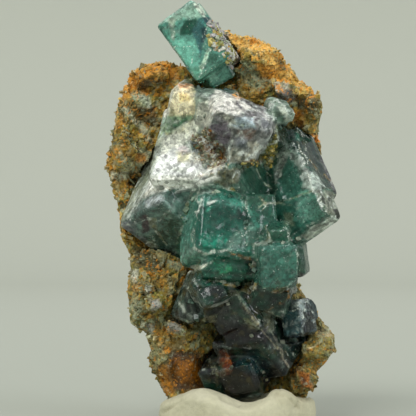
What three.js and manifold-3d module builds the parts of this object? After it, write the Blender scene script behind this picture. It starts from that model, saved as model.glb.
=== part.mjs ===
// A phantom fluorite specimen: etched green cubes grown together on a slab of
// iron-stained rock, standing in a lump of mounting putty.
// Millimetres. +X is to the viewer's right, +Y goes away from the viewer, +Z is up.
// The origin is the middle of the putty's flat underside.

import * as THREE from "three";
import { ConvexGeometry } from "three/addons/geometries/ConvexGeometry.js";
import { mergeVertices } from "three/addons/utils/BufferGeometryUtils.js";
import Module from "manifold-3d";

const wasm = await Module();
wasm.setup();

// Driving sizes
const touchingGap = 0.3; // left free where one piece sits against another
const weldTolerance = 1e-3;

const rockMiddle = new THREE.Vector3(-2.8, 5.2, 29.5);
const rockDetail = 9; // how finely the slab's starting ball is divided
const rockLumpSize = 3.8; // spacing of the coarse lumps
const rockLumpHeight = 1.5;
const rockGritSize = 1.7; // spacing of the fine lumps
const rockGritHeight = 0.7;
const rockLedgeStep = 1.2; // height of the broken ledges
const rockChunks = 32; // angular pieces that stand out of the slab
const rootDepth = 2.2; // how far the cubes reach into the rock
const sidewaysShare = 0.36; // of the roughness, so that the outline keeps its shape
const ledgeShare = 0.6; // how flat the ledges are, from 0 to 1

const puttyHalfWidth = 11.2;
const puttyHalfDepth = 11;
const puttyMiddle = new THREE.Vector3(-0.1, 1.2, 0);
const puttySegments = 36;
const puttyRings = 12;
const puttyRollHeight = 4.7; // the ring of putty pressed up around the foot
const puttyWidestAt = 0.35; // share of the height where it bulges most
const puttySideFullness = 0.62; // 1 is a ball's side, smaller is steeper
const puttyTopFullness = 0.45;
const puttyUndercut = 1.9; // how soon its side reaches the surface below
const puttyDentHeight = 0.3;

const growthStepHeight = 0.32; // a raised growth layer on a cube's face
const satelliteSize = 1.5; // a small cube grown on a big one

// Repeatable numbers

function seededRandom(seed) {
  let state = seed >>> 0;
  return () => {
    state = (state + 0x6d2b79f5) >>> 0;
    let t = Math.imul(state ^ (state >>> 15), 1 | state);
    t = (t + Math.imul(t ^ (t >>> 7), 61 | t)) ^ t;
    return ((t ^ (t >>> 14)) >>> 0) / 4294967296;
  };
}

function latticeValue(x, y, z, seed) {
  let h = Math.imul(x, 374761393) + Math.imul(y, 668265263);
  h = (h + Math.imul(z, 2147483647) + Math.imul(seed, 974634777)) | 0;
  h = Math.imul(h ^ (h >>> 13), 1274126177);
  return ((h ^ (h >>> 16)) >>> 0) / 2147483648 - 1;
}

// Smooth noise from -1 to 1 with lumps one unit apart.
function noise(point, spacing, seed) {
  const p = [point.x / spacing, point.y / spacing, point.z / spacing];
  const cell = p.map(Math.floor);
  const t = p.map((v, i) => THREE.MathUtils.smoothstep(v - cell[i], 0, 1));
  const mix = THREE.MathUtils.lerp;
  const corner = (i, j, k) => latticeValue(cell[0] + i, cell[1] + j, cell[2] + k, seed);
  const along = (j, k) => mix(corner(0, j, k), corner(1, j, k), t[0]);
  return mix(mix(along(0, 0), along(1, 0), t[1]), mix(along(0, 1), along(1, 1), t[1]), t[2]);
}

// Joins and cuts

function solidFrom(geometry) {
  const bare = new THREE.BufferGeometry();
  bare.setAttribute("position", geometry.getAttribute("position"));
  if (geometry.index) bare.setIndex(geometry.index);
  const merged = mergeVertices(bare, weldTolerance);
  return new wasm.Manifold(
    new wasm.Mesh({
      numProp: 3,
      vertProperties: new Float32Array(merged.attributes.position.array),
      triVerts: new Uint32Array(merged.index.array),
    }),
  );
}

function joined(solids) {
  return solids.reduce((all, next) => all.add(next));
}

// Cutting can part a thin chip from the main body. Only the body is kept.
function withoutChips(solid) {
  const bodies = solid.decompose();
  return bodies.reduce((most, body) => (body.volume() > most.volume() ? body : most));
}

function meshFrom(solid, name, material) {
  const data = solid.getMesh();
  const positions = new Float32Array(data.numVert * 3);
  for (let i = 0; i < data.numVert; i++)
    positions.set(data.vertProperties.subarray(i * data.numProp, i * data.numProp + 3), i * 3);
  const geometry = new THREE.BufferGeometry();
  geometry.setAttribute("position", new THREE.BufferAttribute(positions, 3));
  geometry.setIndex(new THREE.BufferAttribute(data.triVerts, 1));
  geometry.computeVertexNormals();
  const mesh = new THREE.Mesh(geometry, material);
  mesh.name = name;
  return mesh;
}

// Fluorite cubes
// Each cube is etched, so its edges are bevelled. turn is in degrees about X, Y and Z.
// steps is the number of raised growth layers, satellites the number of small cubes on it.
// cleaved lists corners broken off on the octahedral cleavage, with the depth of the break.

const mainCubes = [
  { is: "great left cube", centre: [-2.6, 1.9, 33.6], size: [13.6, 11, 14.2],
    turn: [-56, 11, -31], bevel: 0.55, steps: 2, satellites: 1 },
  { is: "left corner cube", centre: [-6.7, 4.3, 33.3], size: [10.4, 11.2, 18.1],
    turn: [-38, 17, -50], bevel: 0.45, steps: 0, satellites: 0 },
  { is: "central phantom cube", centre: [-2.1, -5, 26.9], size: [9.3, 8, 9],
    turn: [-22, 4, 19], bevel: 0.75, steps: 2, satellites: 0 },
  { is: "great right cube", centre: [6.6, 0.9, 32.2], size: [12.8, 4.5, 15.4],
    turn: [-32, -18, -38], bevel: 0.6, steps: 2, satellites: 1 },
  { is: "block behind the right cube", centre: [7.2, 3.4, 34], size: [12, 5.4, 11.6],
    turn: [-32, -18, -38], bevel: 0.8, steps: 1, satellites: 0 },
  { is: "rounded purple cube", centre: [0.3, -5.5, 41.9], size: [9, 6.6, 6.2],
    turn: [30, 22, 0], bevel: 1.15, steps: 1, satellites: 1,
    cleaved: [[1, -1, -1, 1.6], [-1, -1, -1, 1.5]] },
  { is: "purple cube's lower block", centre: [0.9, -5.8, 39.6], size: [5, 5, 6],
    turn: [20, 10, 8], bevel: 0.9, steps: 0, satellites: 0 },
  { is: "yellow cube", centre: [-6.8, -0.1, 44.2], size: [4.6, 7.6, 7.5],
    turn: [17, 12, -11], bevel: 0.7, steps: 0, satellites: 0 },
  { is: "pale cube", centre: [-2.7, -1.5, 43.5], size: [5.4, 7, 7],
    turn: [15, 8, -7], bevel: 0.6, steps: 0, satellites: 0 },
  { is: "small upper right cube", centre: [5.8, -1.5, 43.9], size: [3.6, 4, 3],
    turn: [25, 20, 10], bevel: 0.5, steps: 0, satellites: 1 },
  { is: "lower front cube", centre: [5.4, -9.9, 22.9], size: [5.3, 6.3, 5.9],
    turn: [6, 0, 7], bevel: 0.45, steps: 1, satellites: 0,
    cleaved: [[1, -1, -1, 0.9]] },
  { is: "step on the lower front cube", centre: [5.9, -8.9, 26.6], size: [2.9, 5, 3.6],
    turn: [14, -4, -4], bevel: 0.35, steps: 0, satellites: 0 },
  { is: "block beside the lower front cube", centre: [8.4, -5.5, 23.5], size: [2.8, 5, 4.8],
    turn: [4, -6, -12], bevel: 0.5, steps: 0, satellites: 1 },
  { is: "dark block under the phantom cube", centre: [-1, -5.2, 22.6], size: [8.6, 7.5, 4.6],
    turn: [-14, 2, 10], bevel: 0.5, steps: 1, satellites: 0 },
  { is: "block under the lower front cube", centre: [5.1, -6.2, 18.4], size: [5.4, 6, 4.2],
    turn: [10, 16, -14], bevel: 0.4, steps: 0, satellites: 0 },
  { is: "dark prism", centre: [-3.1, -6, 18.6], size: [5.6, 6.4, 5],
    turn: [-24, -28, 6], bevel: 0.45, steps: 1, satellites: 0 },
  { is: "cracked left block", centre: [-6.1, -3.2, 18.2], size: [2.8, 5, 7.2],
    turn: [-6, 22, 18], bevel: 0.4, steps: 0, satellites: 0 },
  { is: "lower middle cube", centre: [1.2, -4.6, 16.3], size: [6.9, 6.4, 6.4],
    turn: [2, -31, -39], bevel: 0.45, steps: 1, satellites: 0 },
  { is: "dark bottom cube", centre: [3.4, -1.9, 12], size: [9.4, 8.6, 7.9],
    turn: [29, -32, -29], bevel: 0.55, steps: 1, satellites: 0 },
  { is: "dark foot block", centre: [0.2, -1.6, 7.6], size: [8.4, 7.2, 6],
    turn: [20, -20, -18], bevel: 0.6, steps: 1, satellites: 0 },
  { is: "pale shoulder under the yellow cube", centre: [-6.7, -0.6, 37.7], size: [7.4, 7.6, 12],
    turn: [-30, 10, -16], bevel: 0.5, steps: 0, satellites: 0 },
  { is: "block in the crevice under the purple cube", centre: [-2.7, -2, 38.4], size: [6.4, 6.4, 5],
    turn: [-22, -6, -14], bevel: 0.4, steps: 0, satellites: 0 },
  { is: "block between the phantom cube and the front cubes", centre: [3, -4.6, 28.2], size: [4.6, 6.4, 7.5],
    turn: [-14, -4, 10], bevel: 0.4, steps: 0, satellites: 0 },
  { is: "block beside the purple cube", centre: [4.6, -0.6, 40.8], size: [4.4, 5, 5.4],
    turn: [-20, -14, -24], bevel: 0.4, steps: 0, satellites: 0 },
];

const topCubes = [
  { is: "standing top cube", centre: [-5.1, 2, 53.7], size: [6.4, 10.3, 9.9],
    turn: [-5, -35, -8], bevel: 0.4, steps: 2, satellites: 0 },
  { is: "dark cube at its foot", centre: [-3, 2, 50], size: [4.2, 5, 4.7],
    turn: [4, -28, 13], bevel: 0.4, steps: 0, satellites: 0 },
];

const lowerRightCubes = [
  { is: "dark blue cube", centre: [8.7, -4.5, 15.4], size: [3.6, 4.4, 5.2],
    turn: [-4, -8, -32], bevel: 0.5, steps: 1, satellites: 0,
    cleaved: [[1, 1, 1, 0.8]] },
];

// The 24 corners of a box whose edges and corners are all cut back by the bevel.
function bevelledBox(size, bevel) {
  const half = size.map((s) => s / 2);
  const points = [];
  for (const sx of [-1, 1])
    for (const sy of [-1, 1])
      for (const sz of [-1, 1])
        for (const flush of [0, 1, 2]) {
          const reach = half.map((h, i) => (i === flush ? h : h - bevel));
          points.push(new THREE.Vector3(sx * reach[0], sy * reach[1], sz * reach[2]));
        }
  return new ConvexGeometry(points);
}

// A block whose flat face takes one corner off a cube of this size, along the corner's diagonal.
function cornerBreak(size, [sx, sy, sz, depth]) {
  const outward = new THREE.Vector3(sx, sy, sz).normalize();
  const corner = new THREE.Vector3(sx * size[0], sy * size[1], sz * size[2]).multiplyScalar(0.5);
  const reach = Math.max(...size);
  const block = new THREE.BoxGeometry(reach, reach, reach);
  block.translate(0, 0, reach / 2);
  block.applyQuaternion(new THREE.Quaternion().setFromUnitVectors(new THREE.Vector3(0, 0, 1), outward));
  const face = corner.addScaledVector(outward, -depth);
  block.translate(face.x, face.y, face.z);
  return block;
}

// A low raised layer that covers part of one face and shares one of its corners.
function growthStep(size, random) {
  const face = Math.floor(random() * 3);
  const side = random() < 0.6 ? -1 : 1;
  const place = [0, 0, 0];
  const extent = size.map((s, i) => {
    if (i === face) return growthStepHeight * 4;
    const covered = s * (0.45 + 0.3 * random());
    place[i] = (random() < 0.5 ? -1 : 1) * (s - covered) * 0.42;
    return covered;
  });
  place[face] = side * (size[face] / 2 - growthStepHeight);
  const layer = bevelledBox(extent, growthStepHeight * 0.45);
  layer.translate(...place);
  return layer;
}

// A small cube grown half into one edge of a big one, turned the same way.
function satelliteCube(size, random) {
  const edge = Math.floor(random() * 3);
  const width = satelliteSize * (0.8 + 0.5 * random());
  const place = size.map((s, i) =>
    i === edge ? (random() - 0.5) * (s - width) : (random() < 0.5 ? -0.5 : 0.5) * (s - width * 0.75),
  );
  const cube = bevelledBox([width, width, width], width * 0.12);
  cube.translate(...place);
  return cube;
}

function placement(cube) {
  const turn = new THREE.Euler(...cube.turn.map(THREE.MathUtils.degToRad));
  const rotation = new THREE.Quaternion().setFromEuler(turn);
  return new THREE.Matrix4().compose(
    new THREE.Vector3(...cube.centre),
    rotation,
    new THREE.Vector3(1, 1, 1),
  );
}

function cubeSolid(cube, index) {
  const random = seededRandom(101 + index * 17);
  const place = placement(cube);
  const set = (geometry) => solidFrom(geometry.applyMatrix4(place));
  const grown = [set(bevelledBox(cube.size, cube.bevel))];
  for (let i = 0; i < cube.steps; i++) grown.push(set(growthStep(cube.size, random)));
  for (let i = 0; i < cube.satellites; i++) grown.push(set(satelliteCube(cube.size, random)));
  const whole = joined(grown);
  return (cube.cleaved ?? []).reduce((left, cut) => left.subtract(set(cornerBreak(cube.size, cut))), whole);
}

// The room that a cube needs in a piece beside it: a plain box with the gap all round.
function cubeRoom(cube) {
  const clear = 2 * (touchingGap + growthStepHeight);
  const [x, y, z] = cube.size.map((s) => s + clear);
  return solidFrom(new THREE.BoxGeometry(x, y, z).applyMatrix4(placement(cube)));
}

// Rock slab

// The slab's outline from the front, x and z, going round from the notch under the top cube.
const rockOutline = [
  [-7.6, 50.2], [-10.1, 51.5], [-12.8, 50.9], [-15.3, 48.9], [-15.9, 46.2], [-16.6, 44.8],
  [-17.8, 41.4], [-17.6, 39.9], [-18.8, 36.7], [-18.9, 35.7], [-17.5, 34.8], [-17.3, 33.1],
  [-16.3, 31.4], [-16.6, 29.9], [-15.6, 26.2], [-14.6, 24.2], [-14.5, 21.7], [-15.1, 18.8],
  [-14.5, 14.5], [-13.2, 13.8], [-11.6, 10.3], [-11.2, 8.1], [-10.2, 4.3], [-9.3, 3.5],
  [-7.6, 2.4], [-4.9, 1.8], [2.2, 1.8], [7.6, 2.3], [9.9, 3.1], [11.1, 5.1], [10.8, 6.7],
  [11.3, 7.4], [12.8, 7.8], [13.1, 9.4], [14.2, 11.4], [13.3, 13.4], [12.1, 13.7], [9.1, 17.4],
  [8.5, 21.7], [9.2, 26], [11.9, 28.5], [12.6, 33.1], [12.2, 37.4], [11.5, 42.1], [11.8, 43.9],
  [12.6, 46.4], [12.2, 47.4], [10.3, 47.6], [9.5, 47.9], [7.8, 50.9], [5.5, 53.2], [4.1, 53.6],
  [3.8, 54.5], [2.6, 55.1], [0.8, 54.9], [-1.8, 56.1], [-2.8, 56.6], [-3.9, 56.2], [-5.2, 51.6],
].map(([x, z]) => new THREE.Vector2(x - rockMiddle.x, z - rockMiddle.z));

// Where the slab's front and back lie at some places of its outline: x, z, front y, back y.
const rockDepths = [
  [-13, 47, 4.2, 11.6], [-15, 38, 5, 11.4], [-11, 41, 5.6, 12], [-13, 26, 1.2, 11.8], [-12.5, 18, -2.6, 11.4],
  [-9, 9, -3.2, 11.2], [-2, 52, 1.8, 10.2], [1, 54, 1.4, 9.6], [6, 50, 0.8, 10.4],
  [11, 45, 2.2, 9.8], [10, 30, 3.4, 10.6], [-3, 40, 2.2, 12.2], [-1, 26, 0.6, 12.4],
  [9, 20, -0.6, 10.6], [12, 10.5, -4.4, 8.8], [1, 8, -0.8, 10.4], [9, 4, -2.2, 8.6],
];

const rockLumps = [
  { is: "crust beside the top cube", at: [-1.6, 0.4, 52.4], radius: [2.1, 2.4, 2.7], seed: 201 },
  { is: "orange crest", at: [3.4, 1.4, 51.6], radius: [3.4, 3, 2.2], seed: 202 },
  { is: "upper quartz lump", at: [6.8, 0.2, 47], radius: [2.2, 2, 1.7], seed: 203 },
  { is: "clay under the crest", at: [1.2, -0.6, 46.6], radius: [2.8, 2.2, 1.9], seed: 204 },
  { is: "dark shoulder block", at: [10.8, 2.6, 45], radius: [1.6, 2.6, 2.2], seed: 205 },
  { is: "left crest", at: [-11.8, 5, 49.4], radius: [2.8, 2.6, 1.6], seed: 206 },
  { is: "left flank ledge", at: [-15.6, 4.2, 38.6], radius: [2.2, 2.4, 3], seed: 207 },
  { is: "quartz lump, upper", at: [-12.3, -2, 19.8], radius: [1.5, 1.6, 1.2], seed: 208 },
  { is: "quartz lump, middle", at: [-11, -3.2, 17.4], radius: [1.7, 1.7, 1.3], seed: 209 },
  { is: "quartz lump, lower", at: [-8, -4, 14], radius: [1.8, 1.7, 1.4], seed: 210 },
  { is: "lower left bulge", at: [-10, -0.8, 10.4], radius: [2.4, 3.2, 4], seed: 211 },
  { is: "right foot knob", at: [10.9, -2.2, 11], radius: [2.9, 4.2, 2.5], seed: 212 },
  { is: "right foot ledge", at: [9.4, -1.2, 7], radius: [2.1, 3.8, 2.6], seed: 213 },
  { is: "back ridge", at: [-6, 12, 34], radius: [4, 2, 9], seed: 214 },
  { is: "back knob", at: [4, 11, 20], radius: [4.2, 2.2, 4.6], seed: 215 },
  { is: "back ledge", at: [2, 10.6, 44], radius: [5, 1.8, 3.4], seed: 216 },
];

// How far the outline lies from the middle in the direction of an angle.
function outlineReach(angle) {
  const ray = new THREE.Vector2(Math.cos(angle), Math.sin(angle));
  let reach = 0;
  rockOutline.forEach((from, i) => {
    const to = rockOutline[(i + 1) % rockOutline.length];
    const along = to.clone().sub(from);
    const spread = ray.cross(along);
    const distance = from.cross(along) / spread;
    const share = from.cross(ray) / spread;
    if (share >= 0 && share <= 1 && distance > reach) reach = distance;
  });
  return reach;
}

// The same, averaged over a fan of directions, so that notches stay at the rim.
function smoothReach(angle) {
  const fan = [-0.36, -0.24, -0.12, 0, 0.12, 0.24, 0.36];
  return fan.reduce((sum, turn) => sum + outlineReach(angle + turn), 0) / fan.length;
}

// The slab's front and back y at a place, weighted to the nearest of the listed places.
function slabDepth(x, z) {
  let total = 0;
  let front = 0;
  let back = 0;
  for (const [px, pz, frontY, backY] of rockDepths) {
    const weight = 1 / (1 + (x - px) ** 2 + (z - pz) ** 2) ** 1.5;
    total += weight;
    front += weight * frontY;
    back += weight * backY;
  }
  return [front / total, back / total];
}

// How far the rock's surface lies from the smooth slab there: coarse lumps, grit and broken ledges.
function roughness(point) {
  const shift = (seed) =>
    rockLumpHeight * noise(point, rockLumpSize, seed) + rockGritHeight * noise(point, rockGritSize, seed + 9);
  const rough = new THREE.Vector3(shift(1), shift(2), shift(3));
  rough.multiply(new THREE.Vector3(sidewaysShare, 1, sidewaysShare));
  const height = point.y + rough.y;
  const ledge = Math.round(height / rockLedgeStep) * rockLedgeStep;
  rough.y += (ledge - height) * ledgeShare;
  return rough;
}

// A ball of equal triangles that share their corners.
function evenBall(detail) {
  const ball = new THREE.IcosahedronGeometry(1, detail);
  const bare = new THREE.BufferGeometry().setAttribute("position", ball.getAttribute("position"));
  return mergeVertices(bare, weldTolerance);
}

// A point of the smooth slab, from a point of a ball. The slab is larger all round by grow,
// and sunk moves its front back.
function slabPoint(unit, grow, sunk) {
  const spread = Math.min(1, Math.hypot(unit.x, unit.z));
  const angle = Math.atan2(unit.z, unit.x);
  const rim = THREE.MathUtils.lerp(smoothReach(angle), outlineReach(angle), spread ** 3);
  const x = rockMiddle.x + Math.cos(angle) * rim * spread;
  const z = rockMiddle.z + Math.sin(angle) * rim * spread;
  const [front, back] = slabDepth(x, z);
  const away = Math.sign(unit.y) * (1 - spread ** 4) ** 0.25;
  const y = (front + sunk + back) / 2 + away * ((back - front - sunk) / 2 + grow);
  return new THREE.Vector3(x + Math.cos(angle) * grow * spread, y, z + Math.sin(angle) * grow * spread);
}

function slabSolid({ grow = 0, sunk = 0, smooth = false, detail = rockDetail }) {
  const ball = evenBall(detail);
  const position = ball.getAttribute("position");
  const unit = new THREE.Vector3();
  for (let i = 0; i < position.count; i++) {
    unit.fromBufferAttribute(position, i);
    const placed = slabPoint(unit, grow, sunk);
    if (!smooth) placed.add(roughness(slabPoint(unit, 0, sunk)));
    position.setXYZ(i, placed.x, placed.y, placed.z);
  }
  return solidFrom(ball);
}

// An angular lump: the hull of points scattered over an ellipsoid.
function angularLump(middle, radius, corners, random) {
  const points = [];
  for (let i = 0; i < corners; i++) {
    const lift = 1 - (2 * (i + random())) / corners;
    const angle = i * 2.4 + random();
    const spread = Math.sqrt(1 - lift * lift);
    points.push(
      new THREE.Vector3(Math.cos(angle) * spread, Math.sin(angle) * spread, lift)
        .multiply(radius)
        .multiplyScalar(0.9 + 0.25 * random())
        .add(middle),
    );
  }
  return solidFrom(new ConvexGeometry(points));
}

function lumpSolid(lump, grow) {
  const radius = new THREE.Vector3(...lump.radius).addScalar(grow);
  return angularLump(new THREE.Vector3(...lump.at), radius, 20, seededRandom(lump.seed));
}

// Small angular pieces scattered over the front, the rim and the back of the slab.
function chunkSolids(grow) {
  const random = seededRandom(77);
  const chunks = [];
  for (let i = 0; i < rockChunks; i++) {
    const angle = (i + random()) * 2.4;
    const spread = 0.45 + 0.5 * random();
    const reach = outlineReach(angle) * spread;
    const x = rockMiddle.x + Math.cos(angle) * reach;
    const z = rockMiddle.z + Math.sin(angle) * reach;
    const [front, back] = slabDepth(x, z);
    const thinning = (1 - spread ** 4) ** 0.25;
    const middle = (front + back) / 2;
    const side = i % 2 === 0 ? -1 : 1;
    const y = middle + (side * thinning * (back - front)) / 2;
    const size = 1 + 1.1 * random();
    const radius = new THREE.Vector3(size, size * 0.8, size * (0.7 + 0.6 * random())).addScalar(grow);
    chunks.push(angularLump(new THREE.Vector3(x, y, z), radius, 11, random));
  }
  return chunks;
}

function rockSolid(grow) {
  const lumps = rockLumps.map((lump) => lumpSolid(lump, grow));
  return joined([slabSolid({ grow }), ...lumps, ...chunkSolids(grow)]);
}

// Putty

// The height of the putty's top around the specimen, by the place seen from above.
function puttyTop(x, y) {
  const hump = (cx, cy, width, height) =>
    height * Math.exp(-((x - cx) ** 2 + (y - cy) ** 2) / (2 * width ** 2));
  return (
    puttyRollHeight +
    hump(-4.8, -7, 3, 2.1) +
    hump(6.8, -6.6, 2.4, 2.3) +
    hump(1.2, -7, 2.2, -1) +
    hump(-10, 3, 2.6, -0.5) +
    hump(10.6, 3, 2.4, 0.3) +
    hump(2, 10, 4, 0.9)
  );
}

function puttySolid() {
  const ball = new THREE.SphereGeometry(1, puttySegments, puttyRings);
  ball.rotateX(Math.PI / 2);
  const position = ball.getAttribute("position");
  const unit = new THREE.Vector3();
  for (let i = 0; i < position.count; i++) {
    unit.fromBufferAttribute(position, i);
    const spread = Math.hypot(unit.x, unit.y) ** puttySideFullness;
    const angle = Math.atan2(unit.y, unit.x);
    const wave = 1 + 0.03 * Math.cos(3 * angle + 0.6) + 0.02 * Math.cos(7 * angle);
    const x = puttyMiddle.x + Math.cos(angle) * spread * puttyHalfWidth * wave;
    const y = puttyMiddle.y + Math.sin(angle) * spread * puttyHalfDepth * wave;
    const above = puttyWidestAt + (1 - puttyWidestAt) * Math.max(unit.z, 0) ** puttyTopFullness;
    const below = puttyWidestAt * Math.max(0, 1 + unit.z * puttyUndercut);
    const z = (unit.z >= 0 ? above : below) * puttyTop(x, y);
    const dent = z > 0 ? puttyDentHeight * noise(new THREE.Vector3(x, y, z), 2.6, 31) : 0;
    position.setXYZ(i, x + dent, y + dent, Math.max(0, z + dent * 0.6));
  }
  return solidFrom(ball);
}

// Assembly

const looks = {
  rock: new THREE.MeshStandardMaterial({ color: 0x6a5626, roughness: 0.9, metalness: 0 }),
  greenFluorite: new THREE.MeshStandardMaterial({ color: 0x2f7a66, roughness: 0.25, metalness: 0 }),
  paleFluorite: new THREE.MeshStandardMaterial({ color: 0x6fae9c, roughness: 0.22, metalness: 0 }),
  blueFluorite: new THREE.MeshStandardMaterial({ color: 0x24404e, roughness: 0.25, metalness: 0 }),
  putty: new THREE.MeshStandardMaterial({ color: 0xcfcbb4, roughness: 0.85, metalness: 0 }),
};

const core = { smooth: true, detail: 3 };
const rootCut = slabSolid({ ...core, sunk: 2 * rootDepth });
const rootRoom = slabSolid({ ...core, sunk: 2 * rootDepth + touchingGap, grow: -touchingGap });

const roomForLowerCube = joined(lowerRightCubes.map(cubeRoom));
const roomForTopCubes = joined(topCubes.map(cubeRoom));
const roomForCluster = joined(mainCubes.map(cubeRoom));
const allRoom = joined([roomForCluster, roomForTopCubes, roomForLowerCube]).subtract(rootRoom);

const mainCluster = joined(mainCubes.map(cubeSolid)).subtract(roomForLowerCube).subtract(roomForTopCubes);
const fluoriteCluster = withoutChips(mainCluster.subtract(rootCut));
const fluoriteTop = withoutChips(joined(topCubes.map(cubeSolid)).subtract(rootCut));
const fluoriteLowerRight = withoutChips(joined(lowerRightCubes.map(cubeSolid)).subtract(rootCut));
const rock = withoutChips(rockSolid(0).subtract(allRoom));
const foot = joined([rockSolid(touchingGap), roomForCluster]);
const putty = withoutChips(puttySolid().subtract(foot));

const specimen = new THREE.Group();
specimen.add(
  meshFrom(rock, "rock_matrix", looks.rock),
  meshFrom(fluoriteCluster, "fluorite_cluster", looks.greenFluorite),
  meshFrom(fluoriteTop, "fluorite_top_cube", looks.paleFluorite),
  meshFrom(fluoriteLowerRight, "fluorite_lower_right_cube", looks.blueFluorite),
  meshFrom(putty, "mounting_putty", looks.putty),
);

export default specimen;
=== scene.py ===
# %% [markdown]
# # Phantom fluorite cubes on iron-stained rock
# The specimen is a cluster of etched green fluorite cubes on a slab of rock, held up by putty.
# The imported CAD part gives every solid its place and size. It is loaded first and stays fixed,
# and each piece made here is a finer skin of one of its solids, or something that lies inside one.

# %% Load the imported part
import math
import bmesh
import bpy
import numpy as np
from mathutils import Matrix, Vector


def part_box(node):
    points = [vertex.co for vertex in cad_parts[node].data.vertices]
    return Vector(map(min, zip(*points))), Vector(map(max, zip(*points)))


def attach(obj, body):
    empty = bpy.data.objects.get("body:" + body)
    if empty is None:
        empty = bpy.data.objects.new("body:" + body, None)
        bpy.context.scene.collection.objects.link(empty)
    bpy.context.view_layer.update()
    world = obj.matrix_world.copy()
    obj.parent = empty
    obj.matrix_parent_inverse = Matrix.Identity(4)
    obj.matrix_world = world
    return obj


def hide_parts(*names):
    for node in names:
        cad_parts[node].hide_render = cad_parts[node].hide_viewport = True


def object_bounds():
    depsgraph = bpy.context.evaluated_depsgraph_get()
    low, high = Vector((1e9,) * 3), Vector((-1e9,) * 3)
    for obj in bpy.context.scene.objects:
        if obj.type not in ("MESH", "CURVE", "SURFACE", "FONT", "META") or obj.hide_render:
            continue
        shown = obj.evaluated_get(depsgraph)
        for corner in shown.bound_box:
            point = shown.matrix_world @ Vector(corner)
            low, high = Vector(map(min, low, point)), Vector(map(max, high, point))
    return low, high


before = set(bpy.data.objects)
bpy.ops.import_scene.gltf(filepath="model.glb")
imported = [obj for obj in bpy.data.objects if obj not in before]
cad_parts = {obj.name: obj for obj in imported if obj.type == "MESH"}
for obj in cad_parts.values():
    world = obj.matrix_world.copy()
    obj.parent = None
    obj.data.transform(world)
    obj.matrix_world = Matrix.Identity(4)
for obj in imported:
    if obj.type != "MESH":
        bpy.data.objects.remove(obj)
cad_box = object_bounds()
MM = 0.001
print("CAD box in mm:", [[round(c / MM, 2) for c in corner] for corner in cad_box])

# %% [markdown]
# Two small helpers serve every material. Colours are written as sRGB hex values, as a paint chart
# gives them, and Blender's sockets want linear light, so one function converts them. The other adds
# a node, fills its sockets and links the ones that are given another node's output.

# %% Colours and nodes
def linear(hex_colour):
    """Linear light, red, green and blue, of an sRGB hex value."""
    parts = [int(hex_colour[i : i + 2], 16) / 255 for i in (1, 3, 5)]
    return np.array([v / 12.92 if v <= 0.04045 else ((v + 0.055) / 1.055) ** 2.4 for v in parts])


def rgba(hex_colour):
    return (*linear(hex_colour), 1.0)


def add(tree, kind, sockets=None, **settings):
    node = tree.nodes.new("ShaderNode" + kind)
    for name, value in settings.items():
        setattr(node, name, value)
    for name, value in (sockets or {}).items():
        if isinstance(value, bpy.types.NodeSocket):
            tree.links.new(value, node.inputs[name])
        else:
            node.inputs[name].default_value = value
    return node


print("middle grey as linear light:", round(float(linear("#808080")[0]), 3))

# %% [markdown]
# The camera looks straight at the front, level with the middle of the specimen, from about a
# quarter of a metre: a long lens, as for small minerals, so that the cubes keep their true angles.
# Places on the front view are counted in the photograph's pixels from its top left corner, 416 each
# way. One pixel is a square of 0.14 mm on the specimen.

# %% Camera and the front view's grid
SQUARE = 0.14
VIEW_MIDDLE = np.array([-3.78, 30.52])
VIEW_DISTANCE = 259.0
VIEW_HALF = 208.0

lens = bpy.data.cameras.new("macro_lens")
lens.sensor_width = 36.0
lens.lens = 36.0 * VIEW_DISTANCE / (2 * VIEW_HALF * SQUARE)
lens.clip_start = 0.01
camera = bpy.data.objects.new("camera", lens)
camera.location = Vector((VIEW_MIDDLE[0], -VIEW_DISTANCE, VIEW_MIDDLE[1])) * MM
camera.rotation_euler = (math.pi / 2, 0, 0)
bpy.context.scene.collection.objects.link(camera)
bpy.context.scene.camera = camera


def on_front(points):
    """Column and row on the front view of points in mm."""
    nearer = VIEW_DISTANCE / (VIEW_DISTANCE + points[:, 1])
    column = VIEW_HALF + (points[:, 0] - VIEW_MIDDLE[0]) * nearer / SQUARE
    row = VIEW_HALF - (points[:, 2] - VIEW_MIDDLE[1]) * nearer / SQUARE
    return np.stack([column, row], axis=1)


print("lens in mm:", round(lens.lens, 1))

# %% [markdown]
# The specimen stands on matte card that rises to a low wall all round, far outside the camera, so
# no horizon shows from any side. Half of its profile, an edge from the middle outwards, is spun
# about the upright axis to make it.

# %% Floor and backdrop
FLOOR_RADIUS = 480
CURVE_RADIUS = 170
WALL_TOP = 330


def card_bowl():
    bm = bmesh.new()
    profile = [(0, 0), (60, 0), (180, 0), (320, 0), (FLOOR_RADIUS, 0)]
    for step in range(1, 13):
        turn = step / 12 * math.pi / 2
        out = FLOOR_RADIUS + CURVE_RADIUS * math.sin(turn)
        profile.append((out, CURVE_RADIUS * (1 - math.cos(turn))))
    profile.append((FLOOR_RADIUS + CURVE_RADIUS, WALL_TOP))
    chain = [bm.verts.new((x * MM, 0, z * MM)) for x, z in profile]
    half = chain + [bm.edges.new(pair) for pair in zip(chain, chain[1:])]
    bmesh.ops.spin(
        bm, geom=half, cent=(0, 0, 0), axis=(0, 0, 1), angle=2 * math.pi, steps=96, use_merge=True
    )
    bmesh.ops.remove_doubles(bm, verts=bm.verts, dist=0.01 * MM)
    bmesh.ops.recalc_face_normals(bm, faces=bm.faces)
    for face in bm.faces:
        face.smooth = True
    mesh = bpy.data.meshes.new("card_bowl")
    bm.to_mesh(mesh)
    bm.free()
    bowl = bpy.data.objects.new("card_bowl", mesh)
    bpy.context.scene.collection.objects.link(bowl)
    return bowl


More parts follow.
